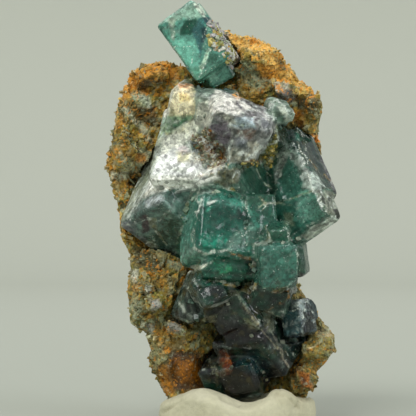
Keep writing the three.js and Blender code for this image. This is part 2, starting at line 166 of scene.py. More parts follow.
backdrop = card_bowl()
card = bpy.data.materials.new("matte_grey_card")
card.use_nodes = True
card_shader = card.node_tree.nodes["Principled BSDF"]
card_shader.inputs["Roughness"].default_value = 0.95
card_shader.inputs["Specular IOR Level"].default_value = 0.1
# Painted shade: the card is darker towards the middle, to even out the softboxes' brighter light there.
card_place = add(card.node_tree, "TexCoord").outputs["Object"]
card_out = add(card.node_tree, "VectorMath", {0: card_place}, operation="LENGTH").outputs["Value"]
card_far = add(card.node_tree, "MapRange", {"Value": card_out, "From Min": 0.05, "From Max": 0.65})
card_tone = add(
    card.node_tree, "Mix",
    {0: card_far.outputs["Result"], 6: rgba("#A8ACA1"), 7: rgba("#BDC0B5")}, data_type="RGBA",
)
card.node_tree.links.new(card_tone.outputs[2], card_shader.inputs["Base Color"])
backdrop.data.materials.append(card)
print("backdrop faces:", len(backdrop.data.polygons))

# %% [markdown]
# The light is that of a small light tent: even light from all round, one large softbox above and to
# the front left, a weaker one from the right. Clear crystal shows its inside only by light that
# enters it, so the sources are large, which also keeps the picture free of grain. The plain view
# transform keeps the full strength of the rust and the green, which the filmic default would fade.

# %% Lights
TENT_STRENGTH = 0.7
bpy.context.scene.view_settings.view_transform = "Standard"
world = bpy.data.worlds.new("light_tent")
world.use_nodes = True
bpy.context.scene.world = world
world.node_tree.nodes["Background"].inputs["Color"].default_value = rgba("#F1F3F3")
world.node_tree.nodes["Background"].inputs["Strength"].default_value = TENT_STRENGTH


def softbox(name, place, aim, width, height, power, colour):
    light = bpy.data.lights.new(name, "AREA")
    light.shape = "RECTANGLE"
    light.size = width * MM
    light.size_y = height * MM
    light.energy = power
    light.color = linear(colour)
    lamp = bpy.data.objects.new(name, light)
    lamp.location = Vector(place) * MM
    lamp.rotation_euler = (Vector(aim) * MM - lamp.location).to_track_quat("-Z", "Y").to_euler()
    lamp.visible_camera = False
    bpy.context.scene.collection.objects.link(lamp)


softbox("softbox_above_left", (-300, -520, 660), (0, 0, 30), 460, 360, 4.0, "#FFFFFE")
softbox("softbox_right", (480, -330, 200), (0, 0, 30), 260, 300, 1.4, "#F6F9FF")
softbox("softbox_back", (60, 380, 560), (0, 0, 35), 300, 160, 1.1, "#FFFFFF")
print("softboxes:", len(bpy.data.lights))

# %% [markdown]
# Natural surfaces need lumps of many sizes. This noise is a lattice of repeatable random values,
# blended smoothly between its points, so the same numbers give the same stone on every run.
# A second kind finds the nearest of many scattered points, which gives crumbly grains, and a third
# draws the noise out along one direction.

# %% Repeatable noise
CELL_PRIMES = (374761393, 668265263, 2147483647)
SEED_FACTOR = 974634777
STIR_FACTOR = 1274126177
LOW_32_BITS = 0xFFFFFFFF


def lattice_value(cell, seed):
    """A repeatable value from -1 to 1 for each whole-numbered cell."""
    mixed = sum(cell[..., axis] * prime for axis, prime in enumerate(CELL_PRIMES))
    mixed = (mixed + seed * SEED_FACTOR) & LOW_32_BITS
    mixed = ((mixed ^ (mixed >> 13)) * STIR_FACTOR) & LOW_32_BITS
    return ((mixed ^ (mixed >> 16)) & LOW_32_BITS) / 2**31 - 1.0


def noise(points, size, seed):
    """Smooth noise from -1 to 1 with lumps of that size in mm."""
    place = points / size
    cell = np.floor(place).astype(np.int64)
    share = place - cell
    share = share * share * (3 - 2 * share)
    total = np.zeros(len(points))
    for corner in range(8):
        offset = np.array([corner & 1, corner >> 1 & 1, corner >> 2 & 1])
        weight = np.prod(np.where(offset == 1, share, 1 - share), axis=1)
        total += weight * lattice_value(cell + offset, seed)
    return total


def layered_noise(points, size, seed, layers=3):
    """Noise with finer and fainter noise on top, each half the size of the one before."""
    total = sum(noise(points, size / 2**i, seed + i) / 2**i for i in range(layers))
    return total / (2 - 0.5 ** (layers - 1))


def grains(points, size, seed):
    """Distance to the nearest grain's middle (in sizes), its own value, and its tilted flat top."""
    place = points / size
    cell = np.floor(place).astype(np.int64)
    nearest = np.full(len(points), 9.0)
    offset = np.zeros_like(points)
    home = np.zeros_like(cell)
    for step in range(27):
        near = cell + np.array([step % 3, step // 3 % 3, step // 9]) - 1
        middle = np.stack([lattice_value(near, seed + k) for k in (11, 12, 13)], axis=1) * 0.5 + 0.5
        from_middle = place - near - middle
        distance = np.linalg.norm(from_middle, axis=1)
        closer = distance < nearest
        nearest[closer] = distance[closer]
        offset[closer] = from_middle[closer]
        home[closer] = near[closer]
    tilt = np.stack([lattice_value(home, seed + k) for k in (21, 22, 23)], axis=1)
    return nearest, lattice_value(home, seed + 20), np.einsum("ij,ij->i", tilt, offset)


def streaks(points, along, size, stretch, seed):
    """Noise drawn out along one direction, as veils and scratches are."""
    along = np.array(along, float) / np.linalg.norm(along)
    squeezed = points - (1 - 1 / stretch) * (points @ along)[:, None] * along
    return layered_noise(squeezed, size, seed)


test_points = np.arange(300.0).reshape(-1, 3)
print("noise over 100 points runs to", round(float(np.abs(noise(test_points, 7.0, 1)).max()), 2))

# %% [markdown]
# Colour and haze are painted on the vertices, as a model maker would with a brush: an area by its
# outline on the front view, a line by its course, or a rule such as "along every cube's edges".
# Each stroke carries a colour and a haze, which is how milky and rough the surface is there. Frost
# is a third channel: how thickly tiny bright facets stand there, which the material paints into the
# colour as white frosting and painted glints.
# The outlines and courses in the tables below were placed over the photograph.

# %% Brushes
def smooth_step(low, high, value):
    """0 below the low value, 1 above the high one and a soft slope between; high may be the lesser."""
    share = np.clip((value - low) / (high - low), 0, 1)
    return share * share * (3 - 2 * share)


def area(places, outline, soft=2.0):
    """1 inside the outline, falling to 0 over the soft width in squares."""
    inside = np.zeros(len(places), bool)
    nearest = np.full(len(places), 1e9)
    column, row = places[:, 0], places[:, 1]
    for (ax, ay), (bx, by) in zip(outline, outline[1:] + outline[:1]):
        if ay != by:
            crossing = (ay > row) != (by > row)
            inside ^= crossing & (column < (bx - ax) * (row - ay) / (by - ay) + ax)
        nearest = np.minimum(nearest, to_line(places, (ax, ay), (bx, by)))
    signed = np.where(inside, nearest, -nearest)
    return smooth_step(-soft, soft, signed)


def to_line(places, start, end):
    """Distance in squares from each place to a straight stretch."""
    start, along = np.array(start, float), np.array(end, float) - np.array(start, float)
    share = np.clip((places - start) @ along / max(along @ along, 1e-9), 0, 1)
    return np.linalg.norm(places - start - share[:, None] * along, axis=1)


def line(places, course, width, soft=1.0, ragged=0.0):
    """1 along the course; a ragged edge comes from a noise that shifts it in or out."""
    nearest = np.full(len(places), 1e9)
    for start, end in zip(course, course[1:]):
        nearest = np.minimum(nearest, to_line(places, start, end))
    return 1 - smooth_step(width / 2 - soft / 2, width / 2 + soft, nearest + ragged)


class Skin:
    """A piece's fine mesh with its paint: a colour, a haze and a frost for each vertex."""

    def __init__(self, name, mesh):
        self.name = name
        self.mesh = mesh
        self.points = read(mesh, "co") / MM
        self.edges = np.empty(len(mesh.edges) * 2, np.int64)
        mesh.edges.foreach_get("vertices", self.edges)
        self.edges = self.edges.reshape(-1, 2)
        self.places = on_front(self.points)
        self.tint = np.zeros((len(self.points), 3))
        self.haze = np.zeros(len(self.points))
        self.frost = np.zeros(len(self.points))

    def normals(self):
        return read(self.mesh, "normal")

    def move(self, shift):
        self.points = self.points + shift
        self.mesh.vertices.foreach_set("co", (self.points * MM).astype(np.float32).ravel())
        self.mesh.update()

    def averaged(self, values, passes):
        """Each vertex's value mixed with its neighbours', over and over."""
        count = len(self.points)
        first, second = self.edges.T
        degree = np.bincount(first, minlength=count) + np.bincount(second, minlength=count)
        values = values.astype(float)
        for _ in range(passes):
            total = np.zeros_like(values)
            for k in range(values.shape[1]):
                total[:, k] = np.bincount(first, values[second, k], count)
                total[:, k] += np.bincount(second, values[first, k], count)
            values = 0.5 * values + 0.5 * total / np.maximum(degree, 1)[:, None]
        return values

    def bulge(self, passes):
        """How far each vertex stands out of (or, below 0, lies inside) its smoothed surroundings."""
        shift = self.points - self.averaged(self.points, passes)
        return np.einsum("ij,ij->i", shift, self.normals())

    def brush(self, mask, colour=None, haze=None):
        mask = np.clip(mask, 0, 1)
        if colour is not None:
            self.tint += (linear(colour) - self.tint) * mask[:, None]
        if haze is not None:
            self.haze += (haze - self.haze) * mask

    def finish_paint(self):
        tint = self.mesh.attributes.new("tint", "FLOAT_COLOR", "POINT")
        full = np.concatenate([np.clip(self.tint, 0, 1), np.ones((len(self.tint), 1))], axis=1)
        tint.data.foreach_set("color", full.astype(np.float32).ravel())
        for name, values in (("haze", self.haze), ("frost", self.frost)):
            layer = self.mesh.attributes.new(name, "FLOAT", "POINT")
            layer.data.foreach_set("value", np.clip(values, 0, 1).astype(np.float32))


def read(mesh, what):
    values = np.empty(len(mesh.vertices) * 3)
    mesh.vertices.foreach_get(what, values)
    return values.reshape(-1, 3)


print("paint channels: tint, haze and frost")

# %% [markdown]
# A skin starts from a copy of its CAD solid. A voxel remesh turns the few large faces into an even
# net of small ones about 0.2 mm wide, which can carry growth steps, pits, grit and paint, and it
# keeps the solid's size and place. The CAD solid itself is hidden, and stays for the physics.

# %% Fine copies of the CAD solids
def fine_copy(node, name, spacing, smooth=True):
    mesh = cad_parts[node].data.copy()
    bm = bmesh.new()
    bm.from_mesh(mesh)
    bmesh.ops.remove_doubles(bm, verts=bm.verts, dist=1e-6)
    bm.to_mesh(mesh)
    bm.free()
    mesh.materials.clear()
    piece = bpy.data.objects.new(name, mesh)
    bpy.context.scene.collection.objects.link(piece)
    remesh = piece.modifiers.new("fine_net", "REMESH")
    remesh.mode = "VOXEL"
    remesh.voxel_size = spacing * MM
    remesh.adaptivity = 0
    fine = bpy.data.meshes.new_from_object(
        piece.evaluated_get(bpy.context.evaluated_depsgraph_get())
    )
    piece.modifiers.clear()
    fine.name = name
    piece.data = fine
    kept_layers = ("position", ".edge_verts", ".corner_vert", ".corner_edge")
    for layer_name in [a.name for a in fine.attributes if not a.is_required]:
        if layer_name not in kept_layers:
            fine.attributes.remove(fine.attributes[layer_name])
    fine.polygons.foreach_set("use_smooth", np.full(len(fine.polygons), smooth))
    fine.update()
    print(name, "faces:", len(fine.polygons))
    return piece, Skin(name, fine)


def settle(piece, nodes, material):
    """Gives a finished piece its material and its body, and hides the CAD nodes it stands for."""
    piece.data.materials.clear()
    piece.data.materials.append(material)
    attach(piece, "root")
    if nodes:
        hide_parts(*nodes)


print("solids to dress:", len(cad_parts))

# %% [markdown]
# ## The rock
# The matrix is a crumbly skarn-like rock: olive brown inside, orange with iron oxide on its crest,
# with grey-green lumps, pale blades and a few grains of grey quartz. Broken rock is angular, so its
# skin is cut up into grains of three sizes, each with a flat top that is tilted its own way.

# %% Rock skin
ROCK_NET = 0.27
LUMP_SIZE = 2.3
GRAIN_SIZE = 1.15
GRIT_SIZE = 0.62
rock, rock_skin = fine_copy("rock_matrix", "rock_skin", ROCK_NET, smooth=False)
rock_skin.move(rock_skin.averaged(rock_skin.points, 3) - rock_skin.points)
_, lump_value, lump_top = grains(rock_skin.points, LUMP_SIZE, 4)
grain_distance, grain_value, grain_top = grains(rock_skin.points, GRAIN_SIZE, 5)
_, grit_value, grit_top = grains(rock_skin.points, GRIT_SIZE, 6)
relief = 0.4 * lump_top + 0.1 * lump_value + 0.34 * grain_top + 0.1 * grain_value + 0.26 * grit_top
relief += 0.14 * (0.5 - grain_distance) + 0.2 * layered_noise(rock_skin.points, 4.0, 7)
AMBER = [(170, 352), (196, 356), (210, 364), (210, 394), (174, 394), (168, 374)]
amber = area(rock_skin.places, AMBER, 4) * smooth_step(-0.2, 0.3, -rock_skin.normals()[:, 1])
inward = np.clip(relief * (1 - 0.85 * amber) - 0.1, -0.8, 0.22)
rock_box = [np.array(corner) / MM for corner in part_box("rock_matrix")]
rock_skin.move(rock_skin.normals() * inward[:, None])
rock_skin.move(np.clip(rock_skin.points, rock_box[0], rock_box[1]) - rock_skin.points)
print("rock relief in mm:", round(inward.min(), 2), "to", round(inward.max(), 2))

# %% [markdown]
# The colours go from the general to the particular. First a mottle of grain colours over the whole
# rock, then orange where the rock faces up (iron oxide, painted paler there as light from above) or
# stands at the rim, painted shade in the hollows, and last the single patches that the front view
# shows.

# %% Rock paint
ROCK_GRAINS = [
    "#A88A30", "#6E702E", "#A3AC90", "#4A451A", "#BE8424", "#8A8238", "#8E967A", "#322D10",
    "#C4A64A", "#7C6018", "#62622A", "#99A286",
]
NO_FAMILY = 9.0


def paint_rock(skin):
    points, normals = skin.points, skin.normals()
    skin.brush(np.ones(len(points)), "#66602A", 0.9)
    half_the_grit = np.where(grit_value > 0.0, grit_value * 2 - 1, NO_FAMILY)
    for value, strength in ((grain_value, 0.85), (half_the_grit, 0.8)):
        family = (value * 0.5 + 0.5) * len(ROCK_GRAINS)
        for k, colour in enumerate(ROCK_GRAINS):
            skin.brush(strength * ((family >= k) & (family < k + 1)), colour)
    grey_part = smooth_step(0.05, 0.5, layered_noise(points, 5.0, 37))
    skin.brush(0.45 * grey_part, "#858D70")
    region = layered_noise(points, 9.0, 38)
    skin.brush(0.5 * smooth_step(0.05, 0.4, region), "#565428")
    skin.brush(0.35 * smooth_step(0.05, 0.4, -region), "#A08A44")
    # Up-facing rock on the crest is painted a pale orange: iron oxide, with painted light from above.
    up = smooth_step(0.2, 0.9, normals[:, 2] + 0.5 * layered_noise(points, 3.0, 31))
    high = smooth_step(38, 52, points[:, 2] + 5 * noise(points, 4, 33))
    skin.brush(0.6 * up * (0.2 + 0.8 * high), "#E2AE4C")
    rim = smooth_step(0.55, 0.95, np.abs(normals[:, 0]) + 0.35 * noise(points, 2.5, 35))
    skin.brush(0.4 * rim * high, "#C48E2E")
    clump = smooth_step(0.1, 0.45, layered_noise(points, 3.0, 39))
    skin.frost += 0.2 + 0.45 * up * high + 0.3 * rim * high + 0.35 * clump
    # Painted shade: the rock's hollows are darkened to a deep brown.
    hollow = smooth_step(0.03, 0.3, -skin.bulge(12))
    skin.brush(0.7 * hollow, "#2C2610")
    low = smooth_step(30, 22, points[:, 2] + 3 * noise(points, 4, 36))
    skin.brush(0.4 * low, "#57542A")
    ridge = smooth_step(0.05, 0.25, skin.bulge(3))
    skin.brush(0.4 * ridge, "#B9AC7C")


paint_rock(rock_skin)

# Each is an outline on the front view, a colour, how strong it is and how soft its edge.
ROCK_AREAS = [
    ([(124, 86), (127, 79), (138, 70), (153, 62), (164, 60), (182, 69),
      (178, 80), (160, 76), (143, 82), (130, 96), (121, 104)], "#D48E2A", 0.6, 4),
    ([(136, 84), (150, 78), (172, 79), (170, 84), (148, 86), (136, 94)], "#4A2E12", 0.7, 2),
    ([(130, 92), (142, 90), (151, 98), (150, 110), (143, 104), (132, 100)], "#A5B296", 0.8, 2),
    ([(127, 100), (136, 102), (142, 111), (133, 116), (124, 108)], "#33301A", 0.7, 2),
    ([(141, 88), (150, 89), (149, 95), (141, 94)], "#BC7C2A", 0.8, 2),
    ([(140, 108), (156, 104), (158, 124), (146, 128), (138, 118)], "#3A2A10", 0.8, 3),
    ([(113, 121), (119, 112), (122, 120), (116, 132)], "#B98A42", 0.6, 2),
    ([(110, 134), (128, 130), (135, 142), (126, 150), (112, 150)], "#4E4C26", 0.6, 3),
    ([(116, 146), (132, 143), (136, 154), (122, 158), (113, 154)], "#A67A22", 0.6, 3),
    ([(136, 154), (146, 153), (147, 162), (137, 163)], "#D79A52", 0.8, 2),
    ([(104, 160), (116, 154), (118, 170), (108, 176), (102, 172)], "#A87A24", 0.5, 3),
    ([(120, 156), (134, 158), (132, 172), (121, 174)], "#9A9A78", 0.7, 3),
    ([(128, 168), (140, 166), (137, 184), (128, 186)], "#3C351A", 0.7, 3),
    ([(110, 172), (127, 172), (127, 179), (111, 180)], "#C9C9B4", 0.7, 2),
    ([(113, 180), (124, 182), (122, 198), (114, 194)], "#8E6A20", 0.5, 3),
    ([(207, 28), (214, 26), (219, 31), (214, 36), (208, 36)], "#C9A94E", 0.6, 2),
    ([(211, 28), (221, 28), (222, 33), (212, 34)], "#C5C3B8", 0.8, 1.5),
    ([(213, 34), (229, 33), (229, 44), (222, 50), (216, 44)], "#837F83", 0.85, 2),
    ([(206, 36), (214, 38), (219, 48), (209, 47)], "#5E5417", 0.8, 2),
    ([(229, 33), (242, 36), (262, 38), (272, 49), (290, 64),
      (297, 84), (286, 80), (268, 62), (246, 50), (232, 44)], "#EAB85C", 0.55, 4),
    ([(247, 38), (258, 37), (262, 44), (252, 45)], "#9A6228", 0.7, 2),
    ([(255, 66), (270, 66), (280, 73), (277, 80), (262, 78)], "#E29E36", 0.7, 3),
    ([(277, 56), (286, 62), (290, 72), (280, 68)], "#53401C", 0.8, 2),
    ([(228, 58), (246, 60), (260, 76), (262, 92), (246, 86), (232, 72)], "#8F9A7C", 0.6, 4),
    ([(224, 62), (232, 66), (238, 80), (230, 82), (226, 72)], "#4E501F", 0.6, 3),
    ([(242, 84), (262, 92), (258, 106), (244, 98), (240, 92)], "#A3812C", 0.6, 3),
    ([(274, 82), (288, 82), (289, 93), (276, 95)], "#ABA89A", 0.85, 2),
    ([(275, 95), (291, 88), (298, 98), (292, 103), (280, 100)], "#403B44", 0.8, 2),
    ([(294, 89), (309, 89), (309, 98), (298, 97)], "#C8AB58", 0.8, 2),
    ([(306, 92), (322, 90), (323, 98), (317, 114), (315, 128), (308, 126), (303, 104)], "#39331A", 0.8, 3),
    ([(313, 91), (321, 92), (320, 98), (314, 97)], "#A9963C", 0.6, 2),
    ([(292, 108), (302, 110), (304, 130), (296, 124)], "#B87520", 0.8, 3),
    ([(303, 112), (314, 116), (314, 136), (304, 134)], "#83702A", 0.7, 3),
    ([(312, 134), (320, 136), (320, 142), (314, 142)], "#E0842A", 0.9, 1.5),
    ([(132, 246), (146, 246), (160, 262), (166, 276), (152, 268), (136, 264)], "#3B3720", 0.75, 3),
    ([(130, 270), (138, 270), (137, 282), (130, 282)], "#C4C4B2", 0.8, 2),
    ([(150, 272), (166, 268), (170, 288), (168, 300), (156, 286)], "#8E6E22", 0.6, 4),
    ([(130, 283), (140, 284), (140, 290), (131, 292)], "#B9822E", 0.6, 2),
    ([(141, 284), (152, 283), (153, 292), (144, 294)], "#B9B9AC", 0.9, 1.5),
    ([(130, 296), (144, 302), (140, 314), (132, 312)], "#9AA288", 0.6, 3),
    ([(149, 298), (160, 298), (163, 308), (152, 311)], "#9C9C96", 0.9, 1.5),
    ([(158, 292), (172, 298), (174, 306), (160, 302)], "#88802A", 0.6, 3),
    ([(176, 306), (186, 310), (186, 318), (178, 316)], "#A5470F", 0.85, 1.5),
    ([(168, 320), (180, 318), (183, 330), (174, 336), (166, 330)], "#7F7E76", 0.9, 2),
    ([(142, 324), (153, 324), (153, 332), (145, 334)], "#8F938A", 0.8, 2),
    ([(152, 326), (168, 330), (186, 338), (184, 350), (164, 352), (152, 340)], "#8E6A22", 0.5, 4),
    # the dark hollow at the foot: amber-brown rock darkened with painted shade
    ([(170, 350), (200, 352), (208, 362), (208, 392), (172, 392), (166, 372)], "#432604", 0.95, 5),
    ([(175, 360), (200, 361), (202, 378), (182, 382), (176, 374)], "#8E560A", 0.85, 5),
    ([(156, 366), (168, 366), (174, 394), (164, 396)], "#AC7024", 0.7, 3),
    ([(146, 340), (156, 346), (160, 364), (152, 360)], "#857F55", 0.6, 3),
    ([(318, 326), (330, 328), (334, 340), (326, 340), (318, 334)], "#A9A07E", 0.8, 2),
    ([(286, 345), (300, 340), (318, 336), (328, 342), (322, 360), (300, 358)], "#90813E", 0.55, 4),
    ([(284, 344), (294, 342), (292, 352), (286, 352)], "#B9A95E", 0.7, 2),
    ([(284, 358), (296, 358), (300, 370), (292, 376), (286, 366)], "#472F10", 0.8, 3),
    ([(298, 372), (312, 372), (312, 388), (302, 390)], "#A45812", 0.75, 3),
    ([(300, 376), (307, 377), (306, 385), (301, 384)], "#4A2406", 0.8, 1.5),
    ([(312, 360), (324, 358), (322, 370), (313, 370)], "#6D5512", 0.7, 2),
]

# The same for lines: a course, a width, a colour and a strength.
ROCK_LINES = [
    ([(125, 109), (138, 124), (151, 141)], 5, "#A9AA90", 0.85),
    ([(138, 97), (148, 99), (150, 106)], 4, "#B2B8A4", 0.8),
    ([(121, 153), (127, 170)], 3, "#A9A888", 0.7),
    ([(288, 346), (306, 352), (322, 340)], 1.6, "#C3BC9A", 0.6),
    ([(296, 340), (304, 350), (312, 352)], 1.4, "#4A3B18", 0.7),
    ([(236, 60), (256, 78), (282, 84)], 2.5, "#B4B89C", 0.6),
    ([(224, 47), (218, 40), (206, 34)], 1.6, "#B9B69E", 0.7),
    ([(206, 44), (214, 52), (219, 54)], 2.0, "#B4B29B", 0.8),
]
rock_front = smooth_step(-0.25, 0.25, -rock_skin.normals()[:, 1])
wobble = 2.2 * np.stack([layered_noise(rock_skin.points, 1.4, s) for s in (41, 42)], axis=1)
rock_places = rock_skin.places + wobble
for outline, colour, strength, soft in ROCK_AREAS:
    rock_skin.brush(area(rock_places, outline, soft) * strength * rock_front, colour)
for course, width, colour, strength in ROCK_LINES:
    rock_skin.brush(line(rock_places, course, width) * strength * rock_front, colour)
rock_skin.brush(amber, None, 0.25)
rock_skin.finish_paint()
print("rock patches painted:", len(ROCK_AREAS), "and lines:", len(ROCK_LINES))

# %% [markdown]
# The rock's finish is rough iron-stained silicate: almost no gloss, with a few grains that glint. The
# brush work gives its colours, and two noises below a millimetre break them up into sand and rust.

# %% Rock material
def rock_material():
    """Iron-stained skarn: dull and sandy, so it throws back a warm, even light with no gloss."""
    material = bpy.data.materials.new("iron_stained_skarn")
    material.use_nodes = True
    tree = material.node_tree
    shader = tree.nodes["Principled BSDF"]
    place = add(tree, "TexCoord").outputs["Object"]
    paint = add(tree, "Attribute", attribute_name="tint").outputs["Color"]
    haze = add(tree, "Attribute", attribute_name="haze").outputs["Fac"]
    rust = add(tree, "Attribute", attribute_name="frost").outputs["Fac"]
    sand = add(
        tree, "TexNoise",
        {"Vector": place, "Scale": 1 / (0.42 * MM), "Detail": 4.0, "Roughness": 0.65},
    )
    shade = add(
        tree, "MapRange",
        {"Value": sand.outputs["Fac"], "From Min": 0.32, "From Max": 0.68, "To Min": 0.45, "To Max": 1.75},
    )
    toned = add(tree, "VectorMath", {0: paint, "Scale": shade.outputs["Result"]}, operation="SCALE")
    specks = add(
        tree, "TexNoise",
        {"Vector": place, "Scale": 1 / (0.75 * MM), "Detail": 4.0, "Roughness": 0.75},
    )
    pale_share = add(
        tree, "MapRange",
        {"Value": specks.outputs["Fac"], "From Min": 0.42, "From Max": 0.35, "To Max": 0.6},
    )
    speckled = add(
        tree, "Mix",
        {0: pale_share.outputs["Result"], 6: toned.outputs["Vector"], 7: rgba("#A4AC92")}, data_type="RGBA",
    )
    # The rust channel lowers the height that a speck needs to turn orange.
    rusted = add(tree, "Math", {0: rust, 1: 0.14, 2: specks.outputs["Fac"]}, operation="MULTIPLY_ADD")
    rust_share = add(
        tree, "MapRange",
        {"Value": rusted.outputs["Value"], "From Min": 0.6, "From Max": 0.66, "To Max": 0.75},
    )
    rusty = add(
        tree, "Mix",
        {0: rust_share.outputs["Result"], 6: speckled.outputs[2], 7: rgba("#DA8E22")}, data_type="RGBA",
    )
    grime = add(
        tree, "MapRange",
        {"Value": sand.outputs["Fac"], "From Min": 0.4, "From Max": 0.34, "To Max": 0.7},
    )
    grimed = add(
        tree, "Mix",
        {0: grime.outputs["Result"], 6: rusty.outputs[2], 7: rgba("#2A2410")}, data_type="RGBA",
    )
    tree.links.new(grimed.outputs[2], shader.inputs["Base Color"])
    rough = add(tree, "MapRange", {"Value": haze, "To Min": 0.25, "To Max": 0.85})
    tree.links.new(rough.outputs["Result"], shader.inputs["Roughness"])
    bump = add(tree, "Bump", {"Height": sand.outputs["Fac"], "Strength": 0.8, "Distance": 0.16 * MM})
    tree.links.new(bump.outputs["Normal"], shader.inputs["Normal"])
    return material


skarn = rock_material()
settle(rock, ["rock_matrix"], skarn)
print("rock material nodes:", len(skarn.node_tree.nodes))

# %% [markdown]
# Loose grains and blades stand up from the broken rock, most of all on its rim. They are small
# solids of a few faces, squashed and jittered so that no two are alike, and sunk into the surface.
# The same maker serves the crust of tiny crystals on the fluorite later on.

# %% Grains, blades and small crystals
FULL_TURN = 6.28


def scatter(skin, count, weight, seed):
    """Vertices to plant solids on, picked by weight and none of them twice."""
    weight = np.clip(weight, 0, None)
    return np.random.default_rng(seed).choice(
        len(skin.points), count, replace=False, p=weight / weight.sum()
    )


def crust(name, skin, spots, seed, shape, sizes, stretch, palette, share, haze, sink, limits):
    """Small solids on a skin: shape is "grain", "blade" or "cube"; sizes in mm; share is how much of
    the skin's own colour each keeps."""
    random = np.random.default_rng(seed)
    bm = bmesh.new()
    tint = bm.verts.layers.float_color.new("tint")
    milk = bm.verts.layers.float.new("haze")
    normals = skin.normals()
    low, high = limits
    for spot in spots:
        size = sizes[0] + (sizes[1] - sizes[0]) * random.random() ** 2
        lean = Vector(normals[spot] + random.normal(0, 0.45, 3)).normalized()
        spun = Matrix.Rotation(FULL_TURN * random.random(), 4, "Z")
        turn = lean.to_track_quat("Z", "Y").to_matrix().to_4x4() @ spun
        wide, deep = (0.55 + 0.45 * random.random(2)) * size
        tall = size * (stretch[0] + (stretch[1] - stretch[0]) * random.random())
        middle = skin.points[spot] + normals[spot] * (0.5 * tall - sink * tall)
        place = Matrix.Translation(Vector(middle) * MM) @ turn
        if shape == "grain":
            scale = Matrix.Diagonal((wide * MM / 2, deep * MM / 2, tall * MM / 2, 1))
            made = bmesh.ops.create_icosphere(bm, subdivisions=1, radius=1.0, matrix=place @ scale)["verts"]
        else:
            if shape == "blade":
                deep *= 0.35
            scale = Matrix.Diagonal((wide * MM, deep * MM, tall * MM, 1))
            made = bmesh.ops.create_cube(bm, size=1.0, matrix=place @ scale)["verts"]
        jitter = 0.16 if shape == "grain" else 0.07
        own = linear(palette[random.integers(len(palette))]) * (0.8 + 0.4 * random.random())
        colour = share * skin.tint[spot] + (1 - share) * own
        for vertex in made:
            moved = np.array(vertex.co) / MM + random.normal(0, jitter * size, 3) * 0.6
            vertex.co = Vector(np.clip(moved, low, high)) * MM
            vertex[tint] = (*np.clip(colour, 0, 1), 1)
            vertex[milk] = haze
    bmesh.ops.recalc_face_normals(bm, faces=bm.faces)
    mesh = bpy.data.meshes.new(name)
    bm.to_mesh(mesh)
    bm.free()
    piece = bpy.data.objects.new(name, mesh)
    bpy.context.scene.collection.objects.link(piece)
    print(name, "solids:", len(spots), "faces:", len(mesh.polygons))
    return piece


rock_box = [rock_box[0] + 0.02, rock_box[1] - 0.02]
rough_rim = 0.3 + smooth_step(0.3, 0.9, rock_skin.normals()[:, 2])
rough_rim *= 0.15 + smooth_step(0.0, 0.15, rock_skin.bulge(8))
rough_rim *= smooth_step(1.0, 2.5, rock_skin.points[:, 2]) * (1 - amber)
rock_grit = crust(
    "rock_grains", rock_skin, scatter(rock_skin, 1100, rough_rim, 61), 62, "grain", (0.3, 1.1), (0.5, 0.9),
    ROCK_GRAINS, 0.5, 0.9, 0.6, rock_box,
)
settle(rock_grit, [], skarn)
left_rim = rough_rim * (0.15 + smooth_step(-9, -14, rock_skin.points[:, 0]))
rock_blades = crust(
    "rock_blades", rock_skin, scatter(rock_skin, 170, left_rim, 63), 64, "blade", (0.3, 0.8), (1.2, 2.6),
    ["#A9AC90", "#B9B28A", "#8C8F70", "#C6BB92", "#94722E"], 0.35, 0.85, 0.55, rock_box,
)
settle(rock_blades, [], skarn)

# %% [markdown]
# ## The fluorite
# Fluorite grows as cubes. The list repeats the CAD cubes: middle, edge lengths and turn, and adds the
# tone of each one. The frame of each cube tells a vertex which face it lies on and how far it is from
# an edge, so growth steps and worn edges can follow the crystal instead of the picture. About half
# of the turns were solved from the corners that the photograph shows, by a program, then rounded.

